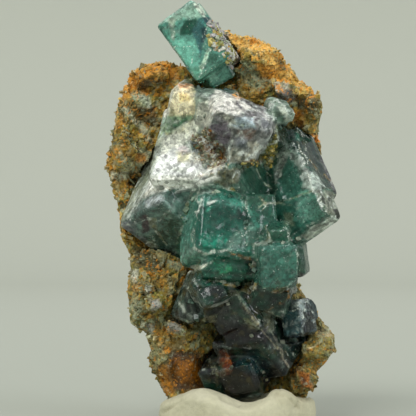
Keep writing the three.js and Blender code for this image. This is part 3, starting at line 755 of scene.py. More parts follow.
# %% The cubes
CUBES = {
    "great left": ((-2.6, 1.9, 33.6), (13.6, 11, 14.2), (-56, 11, -31), "#557F70", 0.35),
    "left corner": ((-6.7, 4.3, 33.3), (10.4, 11.2, 18.1), (-38, 17, -50), "#6B7F76", 0.4),
    "phantom": ((-2.1, -5, 26.9), (9.3, 8, 9), (-22, 4, 19), "#2F8A70", 0.25),
    "great right": ((6.6, 0.9, 32.2), (12.8, 4.5, 15.4), (-32, -18, -38), "#478573", 0.3),
    "behind right": ((7.2, 3.4, 34), (12, 5.4, 11.6), (-32, -18, -38), "#2B5549", 0.3),
    "purple": ((0.3, -5.5, 41.9), (9, 6.6, 6.2), (30, 22, 0), "#8B8688", 0.55),
    "purple lower": ((0.9, -5.8, 39.6), (5, 5, 6), (20, 10, 8), "#83807C", 0.5),
    "yellow": ((-6.8, -0.1, 44.2), (4.6, 7.6, 7.5), (17, 12, -11), "#C5BF92", 0.45),
    "pale": ((-2.7, -1.5, 43.5), (5.4, 7, 7), (15, 8, -7), "#A2B1A0", 0.5),
    "small upper right": ((5.8, -1.5, 43.9), (3.6, 4, 3), (25, 20, 10), "#8FA795", 0.5),
    "lower front": ((5.4, -9.9, 22.9), (5.3, 6.3, 5.9), (6, 0, 7), "#4A8A76", 0.35),
    "front step": ((5.9, -8.9, 26.6), (2.9, 5, 3.6), (14, -4, -4), "#4D8B74", 0.25),
    "beside front": ((8.4, -5.5, 23.5), (2.8, 5, 4.8), (4, -6, -12), "#31584B", 0.3),
    "dark under phantom": ((-1, -5.2, 22.6), (8.6, 7.5, 4.6), (-14, 2, 10), "#1C6B50", 0.25),
    "under front": ((5.1, -6.2, 18.4), (5.4, 6, 4.2), (10, 16, -14), "#244A3A", 0.25),
    "dark prism": ((-3.1, -6, 18.6), (5.6, 6.4, 5), (-24, -28, 6), "#1F4A3E", 0.25),
    "cracked left": ((-6.1, -3.2, 18.2), (2.8, 5, 7.2), (-6, 22, 18), "#5A6D62", 0.45),
    "lower middle": ((1.2, -4.6, 16.3), (6.9, 6.4, 6.4), (2, -31, -39), "#34483F", 0.3),
    "dark bottom": ((3.4, -1.9, 12), (9.4, 8.6, 7.9), (29, -32, -29), "#1C2E2D", 0.25),
    "dark foot": ((0.2, -1.6, 7.6), (8.4, 7.2, 6), (20, -20, -18), "#15191B", 0.25),
    "pale shoulder": ((-6.7, -0.6, 37.7), (7.4, 7.6, 12), (-30, 10, -16), "#A9B5A2", 0.6),
    "crevice block": ((-2.7, -2, 38.4), (6.4, 6.4, 5), (-22, -6, -14), "#8A8560", 0.6),
    "between the fronts": ((3, -4.6, 28.2), (4.6, 6.4, 7.5), (-14, -4, 10), "#2E6E5A", 0.35),
    "beside purple": ((4.6, -0.6, 40.8), (4.4, 5, 5.4), (-20, -14, -24), "#6F7A50", 0.6),
    "top": ((-5.1, 2, 53.7), (6.4, 10.3, 9.9), (-5, -35, -8), "#7CC8B4", 0.2),
    "dark at its foot": ((-3, 2, 50), (4.2, 5, 4.7), (4, -28, 13), "#5A9582", 0.3),
    "dark blue": ((8.7, -4.5, 15.4), (3.6, 4.4, 5.2), (-4, -8, -32), "#2B424B", 0.25),
}


def turned(turn):
    """The rotation of a turn in degrees about x, y and z."""
    x, y, z = (math.radians(t) for t in turn)
    return Matrix.Rotation(x, 3, "X") @ Matrix.Rotation(y, 3, "Y") @ Matrix.Rotation(z, 3, "Z")


class CubeFrames:
    """Which cube each vertex lies on, its place in that cube and its distance to the cube's edges."""

    def __init__(self, points, names):
        best = np.full(len(points), 1e9)
        self.owner = np.zeros(len(points), np.int64)
        self.local = np.zeros_like(points)
        self.half = np.zeros_like(points)
        for k, name in enumerate(names):
            centre, size, turn = CUBES[name][:3]
            local = (points - np.array(centre)) @ np.array(turned(turn))
            half = np.array(size) / 2
            over = np.abs(local) - half
            outside = np.linalg.norm(np.maximum(over, 0), axis=1)
            signed = np.abs(outside + np.minimum(over.max(axis=1), 0))
            closer = signed < best
            best[closer] = signed[closer]
            self.owner[closer] = k
            self.local[closer] = local[closer]
            self.half[closer] = half
        self.gap = self.half - np.abs(self.local)
        self.face = np.argmin(np.abs(self.gap), axis=1)
        self.to_edge = np.sort(self.gap, axis=1)[:, 1]
        self.names = names


print("cubes:", len(CUBES))

# %% [markdown]
# Growth plates are what makes real fluorite faces sparkle: thin square layers, each a little smaller
# than the one below, all square to the cube. They are raised by hundredths of a millimetre, which
# bends a reflection without changing the outline. Etching leaves small square pits between them.

# %% Growth plates and pits
def grow_plates(skin, frames, seed, height=0.07, per_face=5, pits=16):
    """How far each vertex is raised by the plates it lies under, or lowered by a pit, in mm."""
    random = np.random.default_rng(seed)
    rise = np.zeros(len(skin.points))
    wobble = 0.12 * noise(skin.points, 1.3, seed + 3)
    for k, name in enumerate(frames.names):
        half = np.array(CUBES[name][1]) / 2
        for face in range(3):
            u, v = [a for a in range(3) if a != face]
            for side in (-1, 1):
                here = np.flatnonzero(
                    (frames.owner == k) & (frames.face == face) & (np.sign(frames.local[:, face]) == side)
                )
                chosen = random.random((per_face + pits, 4))
                if not len(here):
                    continue
                lu, lv = frames.local[here, u], frames.local[here, v]
                for n, (a, b, c, d) in enumerate(chosen):
                    mu, mv = (2 * a - 1) * half[u] * 0.9, (2 * b - 1) * half[v] * 0.9
                    if n < per_face:
                        wide_u, wide_v = half[u] * (0.25 + 0.6 * c), half[v] * (0.25 + 0.6 * d)
                        lift = height
                    else:
                        wide_u, wide_v = 0.15 + 0.3 * c, 0.15 + 0.3 * d
                        lift = -0.8 * height
                    inside = np.maximum(np.abs(lu - mu) - wide_u, np.abs(lv - mv) - wide_v) + wobble[here]
                    rise[here] += lift * smooth_step(0.12, -0.12, inside) * (0.5 + 0.5 * c)
    return rise


def fluorite_paint(skin, frames, seed):
    """The tone of each cube, growth bands, veils, flecks, milky worn edges, darker olive in concave
    corners.
    """
    for k, name in enumerate(frames.names):
        tone, haze = CUBES[name][3:]
        skin.brush(frames.owner == k, tone, haze)
    shade = layered_noise(skin.points, 3.5, seed)
    skin.brush(0.5 * smooth_step(0.0, 0.6, shade), "#16443A")
    skin.brush(0.3 * smooth_step(0.1, 0.6, -shade), "#8FB9A6")
    bands = streaks(frames.local, (1, 0, 0), 0.75, 5, seed + 4)
    bands += streaks(frames.local, (0, 1, 0), 0.75, 5, seed + 5)
    skin.brush(0.35 * smooth_step(0.25, 0.75, bands), "#A3B8A9", 0.55)
    skin.brush(0.4 * smooth_step(0.25, 0.8, -bands), "#1B3B33")
    milky = layered_noise(skin.points, 1.6, seed + 7)
    skin.brush(0.45 * smooth_step(0.25, 0.7, milky), "#A5B3A6", 0.6)
    flecks = layered_noise(skin.points, 0.55, seed + 8, 2)
    skin.brush(0.6 * smooth_step(0.45, 0.6, flecks), "#CBD3C4", 0.8)
    skin.brush(0.6 * smooth_step(0.45, 0.6, -flecks), "#12281F", 0.1)
    worn = smooth_step(0.4, 0.05, frames.to_edge + 0.35 * noise(skin.points, 0.8, seed + 9))
    skin.brush(0.45 * worn, "#B9C4B4", 0.7)
    # Concave corners are painted a darker, milky olive.
    corner = smooth_step(0.05, 0.3, -skin.bulge(10))
    skin.brush(0.75 * corner, "#4E4A28", 0.7)
    skin.frost += 0.22 * worn + 0.25 * smooth_step(0.2, 0.7, milky) + 0.15 * smooth_step(0.1, 0.6, bands)


def etch(skin, frames, seed, depth=1.0):
    """Wavy faces and chipped edges, cut into the crystal."""
    waves = 0.06 * layered_noise(skin.points, 3.0, seed)
    ripples = 0.015 * streaks(frames.local, (1, 1, 0), 0.7, 3, seed + 2)
    chips = smooth_step(0.5, 0.05, frames.to_edge)
    chips *= smooth_step(0.0, 0.7, layered_noise(skin.points, 1.0, seed + 1))
    thick = np.clip(frames.half.min(axis=1) / 4.5, 0.25, 1)
    return depth * (waves + ripples - 0.42 * thick * chips)


def paint_from_tables(skin, areas, lines, wobble_seed, front=None):
    """Paints areas and lines; a pale line is mostly frost, so that it breaks up into painted glints."""
    wobble = 2.4 * np.stack([layered_noise(skin.points, 1.4, wobble_seed + s) for s in (0, 1)], axis=1)
    places = skin.places + wobble
    front = 1.0 if front is None else front
    speck = layered_noise(skin.points, 0.8, wobble_seed + 5)
    for outline, colour, haze, strength, soft in areas:
        full = area(places, outline, 1.25 * soft + 1.0)
        skin.brush(smooth_step(0.15, 0.85, full * (1 + 0.8 * speck)) * strength * front, colour, haze)
    ragged = 1.5 * layered_noise(skin.points, 0.6, wobble_seed + 2, 2)
    broken = smooth_step(-0.55, 0.1, layered_noise(skin.points, 0.9, wobble_seed + 3))
    for course, width, colour, haze, strength in lines:
        mask = line(places, course, 0.8 * width, 1.2, ragged * min(1.0, 0.5 * width))
        mask *= strength * front * broken
        pale = linear(colour).mean() > 0.4
        skin.brush(mask * (0.45 if pale else 1.0), colour, haze)
        skin.frost = np.maximum(skin.frost, mask * (0.7 if pale else 0.1))
    skin.frost *= 0.3 + 0.7 * smooth_step(0.03, 0.22, skin.tint.mean(axis=1))


def fine_contrast(skin, seed, marked=1.0, low=0.72, high=1.3):
    """Scratches on hazy faces where marked is high, and a last grain of light and dark, as fine as
    the net can hold."""
    grain = layered_noise(skin.points, 0.42, seed, 2)
    scratch = streaks(skin.points, (0.6, 0.2, 0.75), 0.45, 4, seed + 5)
    middling = smooth_step(0.35, 0.6, skin.haze) * smooth_step(0.03, 0.1, skin.tint.mean(axis=1))
    middling *= marked * (1 - smooth_step(0.35, 0.55, skin.tint.mean(axis=1)))
    skin.brush(0.65 * middling * smooth_step(0.08, 0.35, scratch), "#CFDAD4")
    skin.brush(0.65 * middling * smooth_step(0.08, 0.35, -scratch), "#1F3B32")
    skin.frost += 0.5 * middling * smooth_step(0.15, 0.4, scratch)
    calm = 1 - 0.9 * smooth_step(0.2, 0.5, skin.tint.mean(axis=1))
    skin.tint = skin.tint * (1 + calm * (low - 1 + (high - low) * smooth_step(-0.6, 0.6, grain)))[:, None]


# %% [markdown]
# The main cluster is one solid of twenty-four intergrown cubes. After the tone of each cube come the
# particular areas: the frosted white upper face on the left, its white partly a painted sheen, the
# purple cube with its white top, partly painted light from above, the yellow cube, the clear phantom
# cube in the middle with painted highlights on its chipped edges, and the dark, smoky cubes at the foot.

# %% Main cluster skin
CLUSTER_NET = 0.232
cluster, cluster_skin = fine_copy("fluorite_cluster", "fluorite_cluster_skin", CLUSTER_NET)
cluster_names = [n for n in CUBES if n not in ("top", "dark at its foot", "dark blue")]
cluster_frames = CubeFrames(cluster_skin.points, cluster_names)
plates = grow_plates(cluster_skin, cluster_frames, 500)
cluster_shift = np.clip(plates + etch(cluster_skin, cluster_frames, 505) - 0.13, -0.6, 0.1)
cluster_skin.move(cluster_skin.normals() * cluster_shift[:, None])
fluorite_paint(cluster_skin, cluster_frames, 60)
print("cluster plates in mm:", round(plates.min(), 3), "to", round(plates.max(), 3))

# An outline, a colour, a haze (0 is clear, 1 is milky), a strength and the softness of the edge.
CLUSTER_AREAS = [
    # yellow cube and pale cube
    ([(161, 117), (166, 97), (181, 73), (187, 76), (174, 92), (168, 118)], "#D9D7CA", 0.9, 0.85, 2),
    ([(173, 86), (192, 84), (195, 100), (192, 113), (177, 116), (170, 106)], "#FBEFC6", 0.75, 0.95, 3),
    ([(178, 92), (188, 91), (189, 100), (180, 102)], "#FFE29A", 0.7, 0.8, 3),
    ([(177, 84), (192, 83), (192, 88), (179, 89)], "#DD9C6C", 0.8, 0.9, 1.5),
    ([(161, 117), (176, 117), (192, 116), (186, 124), (172, 134), (160, 134)], "#7FAA84", 0.5, 0.85, 2.5),
    ([(173, 124), (186, 119), (188, 123), (176, 129)], "#3C7A5C", 0.3, 0.8, 1.5),
    ([(156, 128), (164, 124), (162, 140), (157, 142)], "#A9BD93", 0.6, 0.8, 2),
    ([(194, 87), (217, 81), (223, 84), (216, 90),
      (207, 96), (202, 103), (196, 108)], "#A5B7A7", 0.6, 0.9, 2),
    ([(195, 88), (204, 86), (206, 92), (198, 94)], "#7D9488", 0.4, 0.8, 1.5),
    ([(216, 89), (222, 83), (236, 88), (232, 94), (222, 93)], "#64807B", 0.35, 0.9, 1.5),
    ([(231, 95), (241, 90), (243, 98), (237, 103)], "#E39A32", 0.95, 0.95, 1.2),
    # rounded purple cube
    # its white top: frost, with painted light from above
    ([(206, 103), (217, 90), (231, 96), (252, 108),
      (240, 113), (222, 116), (210, 114)], "#DBD8CE", 0.95, 0.95, 2),
    ([(199, 104), (208, 100), (212, 118), (206, 128), (198, 124), (194, 114)], "#C9C8B6", 0.9, 0.8, 2.5),
    ([(208, 126), (226, 123), (233, 136), (222, 148), (209, 142)], "#6E6270", 0.4, 0.85, 3),
    ([(232, 117), (253, 117), (258, 129), (244, 131), (231, 125)], "#A9BCC6", 0.6, 0.9, 2),
    ([(222, 116), (234, 114), (236, 124), (226, 124)], "#B9B7A6", 0.7, 0.8, 2),
    ([(238, 130), (256, 129), (256, 136), (246, 140), (238, 136)], "#7A5E50", 0.5, 0.8, 2),
    ([(234, 138), (247, 138), (247, 147), (236, 147)], "#A2AAB4", 0.6, 0.6, 4),
    ([(224, 148), (252, 150), (258, 158), (246, 164), (229, 164)], "#A7A795", 0.6, 0.85, 2),
    ([(256, 112), (276, 124), (273, 138), (262, 150), (256, 140), (262, 126)], "#8F8F8D", 0.5, 0.8, 2),
    ([(262, 116), (272, 122), (270, 134), (264, 132)], "#7C8288", 0.4, 0.7, 1.5),
    ([(248, 142), (258, 140), (262, 150), (252, 156)], "#BDB9A2", 0.7, 0.7, 2),
    # small upper right cube
    ([(265, 112), (270, 100), (278, 100), (285, 107), (292, 122), (278, 124)], "#9DB5A2", 0.6, 0.9, 2),
    ([(278, 106), (284, 106), (290, 119), (285, 122)], "#D5DAC8", 0.9, 0.8, 1.5),
    ([(275, 116), (286, 116), (286, 122), (276, 122)], "#6E9080", 0.35, 0.8, 1.5),
    # clay between the purple and the right cube
    ([(275, 131), (278, 147), (272, 167), (262, 159), (270, 148)], "#8F8432", 0.95, 0.95, 1.2),
    ([(240, 160), (252, 160), (264, 160), (262, 166), (246, 168)], "#6C6536", 0.7, 0.7, 2),
    # brown crevice
    ([(200, 132), (210, 128), (218, 142), (226, 152),
      (226, 166), (214, 170), (206, 158), (196, 146)], "#5A3C1C", 0.9, 0.9, 2.5),
    ([(196, 134), (206, 132), (208, 142), (202, 150), (192, 148)], "#6D6A38", 0.8, 0.8, 2),
    ([(190, 142), (198, 142), (198, 152), (191, 152)], "#24483C", 0.2, 0.9, 1.5),
    # frosted upper face of the great left cube, its white partly a painted sheen of the light above
    ([(157, 158), (146, 194), (150, 191), (170, 188), (190, 182), (212, 174),
      (228, 166), (206, 160), (190, 150), (178, 140), (168, 140)], "#F2F4F0", 0.97, 0.95, 2),
    ([(160, 138), (176, 128), (196, 118), (200, 128),
      (190, 140), (176, 148), (160, 156)], "#D6D8C6", 0.9, 0.85, 3),
    ([(150, 176), (144, 196), (152, 193), (172, 189),
      (196, 182), (214, 175), (206, 170), (176, 176)], "#E4E6DD", 0.97, 0.9, 2),
    ([(176, 150), (190, 152), (190, 162), (178, 162)], "#CBC68C", 0.85, 0.7, 2.5),
    ([(178, 146), (186, 144), (188, 152), (182, 156)], "#A98488", 0.7, 0.5, 2),
    ([(190, 152), (204, 152), (206, 162), (192, 164)], "#A8A68A", 0.8, 0.7, 2),
    ([(204, 160), (222, 160), (226, 166), (208, 170)], "#D9D6C2", 0.95, 0.8, 1.5),
    ([(172, 166), (186, 168), (184, 172), (172, 172)], "#8F9A7C", 0.7, 0.5, 1.5),
    # pale side band on the far left
    ([(158, 138), (150, 150), (142, 163), (138, 172), (130, 192), (125, 204),
      (117, 226), (127, 216), (141, 196), (147, 184), (155, 162), (162, 141)], "#A9AE94", 0.7, 0.9, 2),
    ([(153, 150), (158, 150), (150, 172), (142, 190), (138, 190), (146, 168)], "#8A947C", 0.6, 0.7, 1.2),
    # lower left face
    ([(128, 222), (146, 198), (170, 189), (192, 184), (190, 196),
      (182, 220), (176, 250), (168, 258), (150, 248), (134, 244)], "#6A9084", 0.42, 0.75, 3),
    # a painted glint, bluish white, on the lower left face
    ([(146, 198), (160, 193), (164, 198), (156, 206), (146, 206)], "#D2D8DC", 0.85, 0.75, 3.5),
    ([(118, 224), (130, 220), (134, 232), (126, 238)], "#8C8894", 0.6, 0.8, 3),
    ([(132, 210), (146, 206), (150, 216), (140, 222), (132, 220)], "#34443F", 0.3, 0.5, 3),
    ([(140, 218), (147, 216), (149, 231), (143, 235)], "#3E1222", 0.4, 0.95, 2),
    ([(150, 202), (162, 200), (164, 212), (152, 214)], "#33584C", 0.3, 0.6, 3),
    ([(166, 190), (180, 188), (184, 196), (170, 200)], "#3C5E54", 0.35, 0.6, 3),
    ([(154, 232), (164, 228), (168, 246), (158, 250)], "#2C473C", 0.3, 0.6, 3),
    ([(126, 224), (136, 222), (138, 234), (130, 238)], "#6C6B76", 0.6, 0.6, 3),
    ([(148, 218), (156, 218), (156, 228), (150, 228)], "#8C8A62", 0.7, 0.7, 1.5),
    ([(164, 218), (178, 220), (176, 240), (166, 238)], "#2A5546", 0.3, 0.6, 4),
    ([(160, 212), (176, 200), (182, 202), (178, 214), (166, 218)], "#6C9485", 0.45, 0.8, 2.5),
    ([(130, 236), (146, 236), (152, 246), (140, 248)], "#57575F", 0.5, 0.8, 2),
    ([(140, 242), (154, 240), (158, 248), (146, 250)], "#8C8B6E", 0.7, 0.7, 1.5),
    ([(160, 248), (172, 250), (176, 266), (168, 262)], "#5E6660", 0.5, 0.8, 2),
    ([(190, 182), (214, 173), (222, 172), (208, 182), (196, 186)], "#6A6166", 0.5, 0.6, 3),
    ([(206, 176), (226, 168), (244, 166), (238, 184), (216, 186)], "#77755A", 0.55, 0.9, 3),
    # phantom cube
    ([(192, 190), (218, 185), (238, 192), (244, 206), (258, 222), (252, 250),
      (228, 254), (204, 262), (194, 271), (174, 266), (182, 216)], "#4B9480", 0.3, 0.9, 2),
    ([(196, 206), (214, 200), (232, 206), (244, 216), (240, 236),
      (228, 248), (206, 250), (194, 244), (194, 222)], "#04624E", 0.22, 0.95, 3),
    ([(198, 234), (216, 232), (228, 240), (222, 248), (204, 250)], "#1E9478", 0.3, 0.85, 4),
    ([(212, 206), (230, 208), (236, 220), (222, 226), (210, 218)], "#0C5644", 0.2, 0.8, 4),
    ([(234, 204), (246, 212), (254, 224), (248, 232), (238, 218)], "#0C3E33", 0.2, 0.95, 2.5),
    ([(230, 198), (240, 200), (246, 206), (244, 210), (234, 204)], "#43A58B", 0.3, 0.85, 1.5),
    ([(226, 242), (238, 230), (252, 222), (256, 232), (252, 246), (232, 250)], "#5E8A79", 0.35, 0.9, 3),
    ([(176, 252), (190, 246), (206, 252), (208, 260), (194, 266), (178, 264)], "#74AB98", 0.5, 0.8, 3),
    ([(190, 188), (206, 184), (222, 186), (214, 194), (198, 196)], "#9BB3A5", 0.6, 0.8, 2),
    # a painted highlight on the curved lip at the phantom cube's foot, partly frosted
    ([(184, 268), (194, 267), (208, 262), (207, 266), (194, 273), (185, 272)], "#D8D8C6", 0.95, 0.95, 1),
    # under the phantom cube
    ([(194, 272), (208, 266), (222, 258), (252, 258),
      (256, 284), (226, 286), (198, 284)], "#17604C", 0.3, 0.9, 2.5),
    ([(214, 262), (230, 262), (232, 272), (218, 276)], "#2C9069", 0.35, 0.85, 2.5),
    ([(226, 267), (232, 266), (232, 271), (226, 272)], "#3FA873", 0.35, 0.8, 1.5),
    ([(243, 258), (256, 262), (256, 274), (246, 274)], "#0C3A2E", 0.03, 0.9, 1.5),
    ([(222, 285), (240, 283), (255, 282), (256, 289),
      (249, 294), (240, 289), (228, 287)], "#8F752A", 0.95, 0.95, 1),
    # right cube
    ([(278, 124), (296, 126), (297, 152), (288, 148), (277, 158)], "#28443D", 0.2, 0.9, 2),
    ([(276, 156), (288, 146), (304, 156), (312, 182), (304, 196),
      (298, 168), (288, 158), (282, 176), (274, 184)], "#93A397", 0.7, 0.9, 3),
    ([(288, 156), (300, 178), (302, 196), (292, 204), (278, 200), (280, 178)], "#5C9C88", 0.15, 0.92, 1.5),
    ([(244, 168), (262, 164), (274, 172), (276, 200),
      (262, 208), (246, 204), (240, 186)], "#2E6650", 0.15, 0.8, 3),
    ([(300, 190), (310, 184), (318, 204), (312, 220), (302, 222), (294, 206)], "#6BA893", 0.4, 0.9, 2.5),
    ([(256, 206), (290, 204), (300, 226), (290, 236), (262, 228)], "#32725E", 0.15, 0.8, 3),
    ([(296, 138), (306, 140), (324, 168), (330, 178),
      (322, 178), (308, 164), (298, 152)], "#26463D", 0.15, 0.9, 1.5),
    ([(304, 168), (316, 172), (326, 186), (318, 192), (306, 188)], "#B2BFB4", 0.8, 0.9, 2.5),
    ([(306, 142), (320, 146), (331, 168), (336, 186), (326, 180), (312, 160)], "#25443B", 0.15, 0.9, 1.5),
    ([(322, 146), (331, 164), (337, 184), (343, 204),
      (340, 208), (330, 182), (320, 160)], "#5E5A62", 0.5, 0.85, 1.2),
    ([(318, 190), (330, 190), (342, 206), (338, 216), (326, 216), (316, 204)], "#9A9C88", 0.65, 0.85, 2),
    ([(312, 190), (320, 200), (334, 218), (320, 226), (306, 216)], "#4F8370", 0.3, 0.85, 2),
    ([(300, 236), (316, 226), (342, 214), (341, 221), (322, 235), (308, 240)], "#A9B3A4", 0.8, 0.9, 1.5),
    ([(334, 210), (344, 210), (344, 219), (338, 220)], "#101B1C", 0.05, 0.95, 1),
    ([(284, 212), (294, 214), (294, 226), (284, 226)], "#8E9070", 0.6, 0.5, 2.5),
    # lower front cube
    ([(256, 244), (298, 243), (300, 272), (296, 288),
      (284, 290), (260, 290), (254, 280)], "#467E6E", 0.35, 0.9, 1.5),
    ([(252, 243), (268, 240), (272, 242), (262, 245), (253, 246)], "#C5CBB6", 0.8, 0.65, 1),
    ([(262, 226), (290, 225), (291, 242), (270, 240), (264, 234)], "#3F7A62", 0.2, 0.8, 2),
    ([(297, 240), (307, 241), (310, 262), (307, 275), (298, 276)], "#35604F", 0.3, 0.9, 1.5),
    ([(299, 273), (309, 274), (307, 284), (300, 285)], "#4A4642", 0.5, 0.9, 1.5),
    ([(256, 290), (292, 290), (293, 308), (272, 309), (258, 300)], "#27453A", 0.2, 0.85, 2),
    ([(285, 290), (296, 288), (299, 302), (290, 306)], "#30524A", 0.3, 0.7, 2),
    # dark prism and lower cubes
    ([(195, 286), (240, 288), (236, 297), (204, 299)], "#1B4136", 0.08, 0.95, 1.5),
    ([(200, 299), (234, 297), (240, 292), (222, 304), (207, 309)], "#2F4F44", 0.3, 0.9, 1.5),
    ([(171, 274), (182, 274), (196, 290), (204, 308),
      (196, 322), (184, 312), (174, 298)], "#66786C", 0.4, 0.7, 2),
    ([(182, 288), (190, 290), (200, 310), (194, 318), (184, 306)], "#1E352E", 0.1, 0.8, 1.5),
    ([(204, 312), (236, 296), (242, 306), (256, 322), (230, 328), (206, 322)], "#4A4648", 0.35, 0.75, 3),
    ([(236, 306), (250, 318), (254, 324), (240, 326)], "#35533F", 0.3, 0.7, 2),
    ([(242, 292), (262, 300), (270, 318), (258, 318), (246, 302)], "#1E3F31", 0.12, 0.9, 2),
    ([(190, 322), (256, 326), (270, 340), (256, 352), (214, 346), (192, 334)], "#141C1E", 0.2, 0.92, 3),
    ([(222, 326), (252, 326), (262, 338), (246, 342), (224, 336)], "#2B232B", 0.2, 0.7, 2),
    ([(210, 346), (262, 350), (290, 372), (282, 388),
      (240, 398), (212, 390), (206, 366)], "#0C1114", 0.15, 0.95, 3),
    ([(240, 354), (262, 352), (272, 364), (266, 374), (246, 376), (236, 366)], "#24474A", 0.25, 0.9, 4),
    ([(218, 350), (226, 350), (232, 362), (230, 376), (222, 378), (218, 362)], "#6F3418", 0.7, 0.85, 1.5),
    ([(226, 352), (231, 356), (231, 364), (226, 360)], "#B9651E", 0.8, 0.8, 1),
    ([(212, 368), (224, 368), (224, 380), (214, 378)], "#57373F", 0.5, 0.7, 2),
    ([(204, 340), (214, 344), (216, 356), (206, 352)], "#55583C", 0.6, 0.7, 1.5),
    ([(180, 314), (198, 318), (214, 340), (222, 356),
      (214, 372), (206, 358), (196, 340), (186, 330)], "#4C564A", 0.4, 0.6, 2.5),
    ([(193, 320), (206, 322), (208, 330), (196, 330)], "#2D4A42", 0.2, 0.7, 1.5),
    ([(206, 316), (216, 314), (218, 322), (208, 324)], "#A29A6A", 0.8, 0.45, 2.5),
    ([(244, 320), (256, 320), (260, 330), (250, 330)], "#8E8A58", 0.8, 0.4, 3),
    ([(262, 312), (272, 312), (276, 330), (266, 334)], "#7B7F6C", 0.6, 0.8, 1.5),
]

